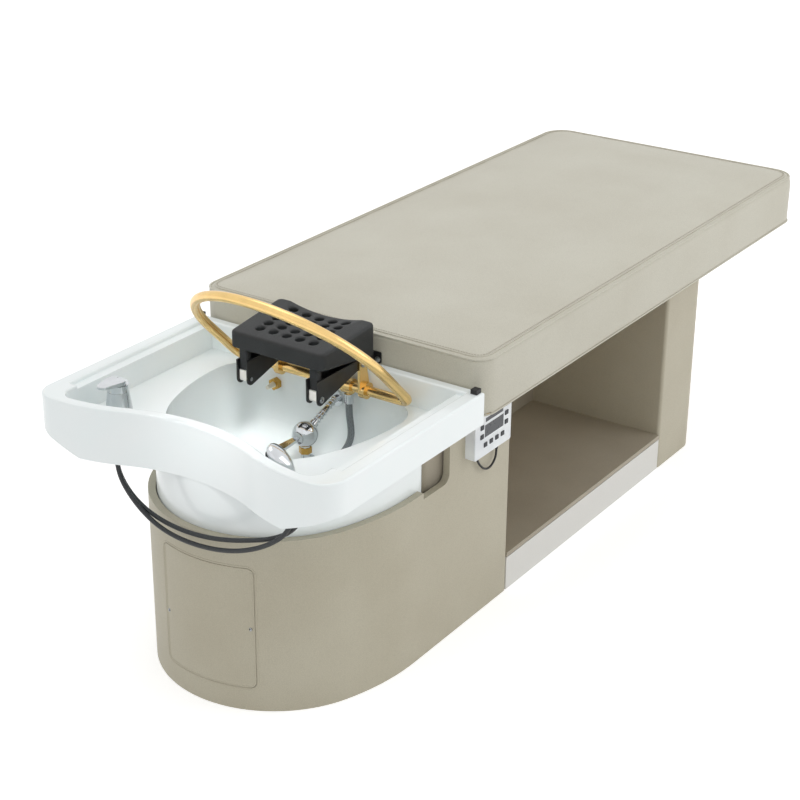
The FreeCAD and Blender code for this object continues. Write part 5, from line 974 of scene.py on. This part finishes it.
def cross_at(middle, axis, reach):
    """Two short crossing lines on a screw's head."""
    side = axis.orthogonal().normalized()
    other = axis.cross(side).normalized()
    return [[middle - side * reach, middle + side * reach],
            [middle - other * reach, middle + other * reach]]


def screw_recess_shade(beads):
    """Dark crosses on the heads of the access panel's screws and of the neck rest's pins: painted
    shade of their cross recesses.
    """
    lines = []
    for across, height in PANEL_SCREWS:
        spot = nose_spot(across, height, 0.0)
        outward = (nose_spot(across, height, 0.01) - spot).normalized()
        lines += cross_at(Vector((spot.x - SCREW_PROUD, across, height)), outward, 0.0020)
    pin_x, pin_y, pin_z = PIN_HEAD
    for side in (-1, 1):
        lines += cross_at(Vector((pin_x, side * pin_y, pin_z)), Vector((0, side, 0)), 0.0032)
    # the dark crosses stand slightly proud and are painted shade of the recesses
    grown("screw_recess_shade", lines, beads, {"Radius": 0.0006, "Sides": 6}, "arm_black", "bed",
          closed=False)


# Studio: pale floor, soft lamps and the photograph's camera

FLOOR_HALF = 14.0
# how much the floor is lifted towards white for the camera and for mirror-like metal
FLOOR_LIFT = 0.43
# the air's strength on the object; the camera sees it at 1, as white
AIR_LEVEL = 0.72
WHITE = (1.0, 1.0, 1.0, 1.0)
# each lamp: place, aim, size, power in watts, spread in degrees
LAMPS = {
    "softbox_left": ((-2.6, -1.6, 3.0), (-0.1, 0.0, 0.4), 2.6, 2, 180),
    "softbox_right": ((1.6, -3.2, 2.2), (0.1, 0.0, 0.4), 2.2, 23, 180),
    "softbox_top": ((0.1, 0.4, 3.4), (0.0, 0.0, 0.4), 2.0, 12, 180),
    "basin_light": ((-1.40, -0.62, 1.45), (-0.66, 0.05, 0.46), 0.30, 0.20, 14),
}
# a lamp narrower than this is left out of gloss, in degrees
NARROW_SPREAD = 60
# the camera fitted to the photograph's straight edges; roll in radians, lens in millimetres
CAMERA_PLACE = (-3.14625, -1.9635, 1.9729)
CAMERA_LOOK = (0.75216, 0.51209, -0.41475)
CAMERA_ROLL = 0.0076
CAMERA_LENS = 80.99


def seen_directly(tree):
    """A socket that is 1 for the camera and for mirror-like reflections, and 0 otherwise."""
    ray = node(tree, "ShaderNodeLightPath")
    seen = node(tree, "ShaderNodeMath", {"operation": "MAXIMUM"}, {
        0: ray.outputs["Is Camera Ray"], 1: ray.outputs["Is Glossy Ray"]})
    return seen.outputs[0]


def studio():
    """Pale floor and plain soft light from above and in front."""
    mesh = bpy.data.meshes.new("studio_floor")
    size = FLOOR_HALF
    mesh.from_pydata([(-size, -size, 0), (size, -size, 0), (size, size, 0), (-size, size, 0)], [],
                     [(0, 1, 2, 3)])
    floor = bpy.data.objects.new("studio_floor", mesh)
    bpy.context.scene.collection.objects.link(floor)
    material, tree, shader = finish("studio_paper", {
        "Roughness": 0.9, "Base Color": linear("#FBFBFB"), "Emission Color": WHITE})
    lift = node(tree, "ShaderNodeMath", {"operation": "MULTIPLY"}, {
        0: seen_directly(tree), 1: FLOOR_LIFT})
    tree.links.new(lift.outputs[0], shader.inputs["Emission Strength"])
    mesh.materials.append(material)
    world = bpy.data.worlds.new("studio_air")
    world.use_nodes = True
    bpy.context.scene.world = world
    air = world.node_tree
    glow = air.nodes["Background"]
    level = node(air, "ShaderNodeMapRange", None, {
        "Value": seen_directly(air), "To Min": AIR_LEVEL, "To Max": 1.0})
    air.links.new(level.outputs["Result"], glow.inputs["Strength"])
    glow.inputs["Color"].default_value = WHITE
    for name, values in LAMPS.items():
        lamp(name, *values)


def lamp(name, where, target, size, power, spread):
    """One square soft lamp aimed at a point; a narrow one leaves no spot of its own in gloss."""
    data = bpy.data.lights.new(name, "AREA")
    data.size = size
    data.energy = power
    data.spread = math.radians(spread)
    light = bpy.data.objects.new(name, data)
    bpy.context.scene.collection.objects.link(light)
    light.location = where
    light.visible_glossy = spread > NARROW_SPREAD
    light.rotation_euler = (Vector(target) - Vector(where)).to_track_quat("-Z", "Y").to_euler()


def photograph_camera():
    """Camera with the photograph's place, direction and angle of view."""
    look = Vector(CAMERA_LOOK).normalized()
    flat_right = look.cross(Vector((0, 0, 1))).normalized()
    flat_up = flat_right.cross(look)
    right = flat_right * math.cos(CAMERA_ROLL) + flat_up * math.sin(CAMERA_ROLL)
    up = flat_up * math.cos(CAMERA_ROLL) - flat_right * math.sin(CAMERA_ROLL)
    data = bpy.data.cameras.new("photograph_camera")
    data.sensor_width = 36.0
    data.lens = CAMERA_LENS
    data.clip_end = 100
    camera = bpy.data.objects.new("photograph_camera", data)
    bpy.context.scene.collection.objects.link(camera)
    turn = Matrix((right, up, -look)).transposed().to_4x4()
    camera.matrix_world = Matrix.Translation(CAMERA_PLACE) @ turn
    bpy.context.scene.camera = camera


bpy.context.scene.view_settings.view_transform = "Standard"
photograph_camera()
dress_cad_nodes()
cords()
cover_box = couch_cover()
bead = sweep_tree()
couch_seams(cover_box, bead)
panel_welt(bead)
notch_shade_sheet()
neck_pad()
hand_shower()
valve_rings(bead)
screw_recess_shade(bead)
studio()
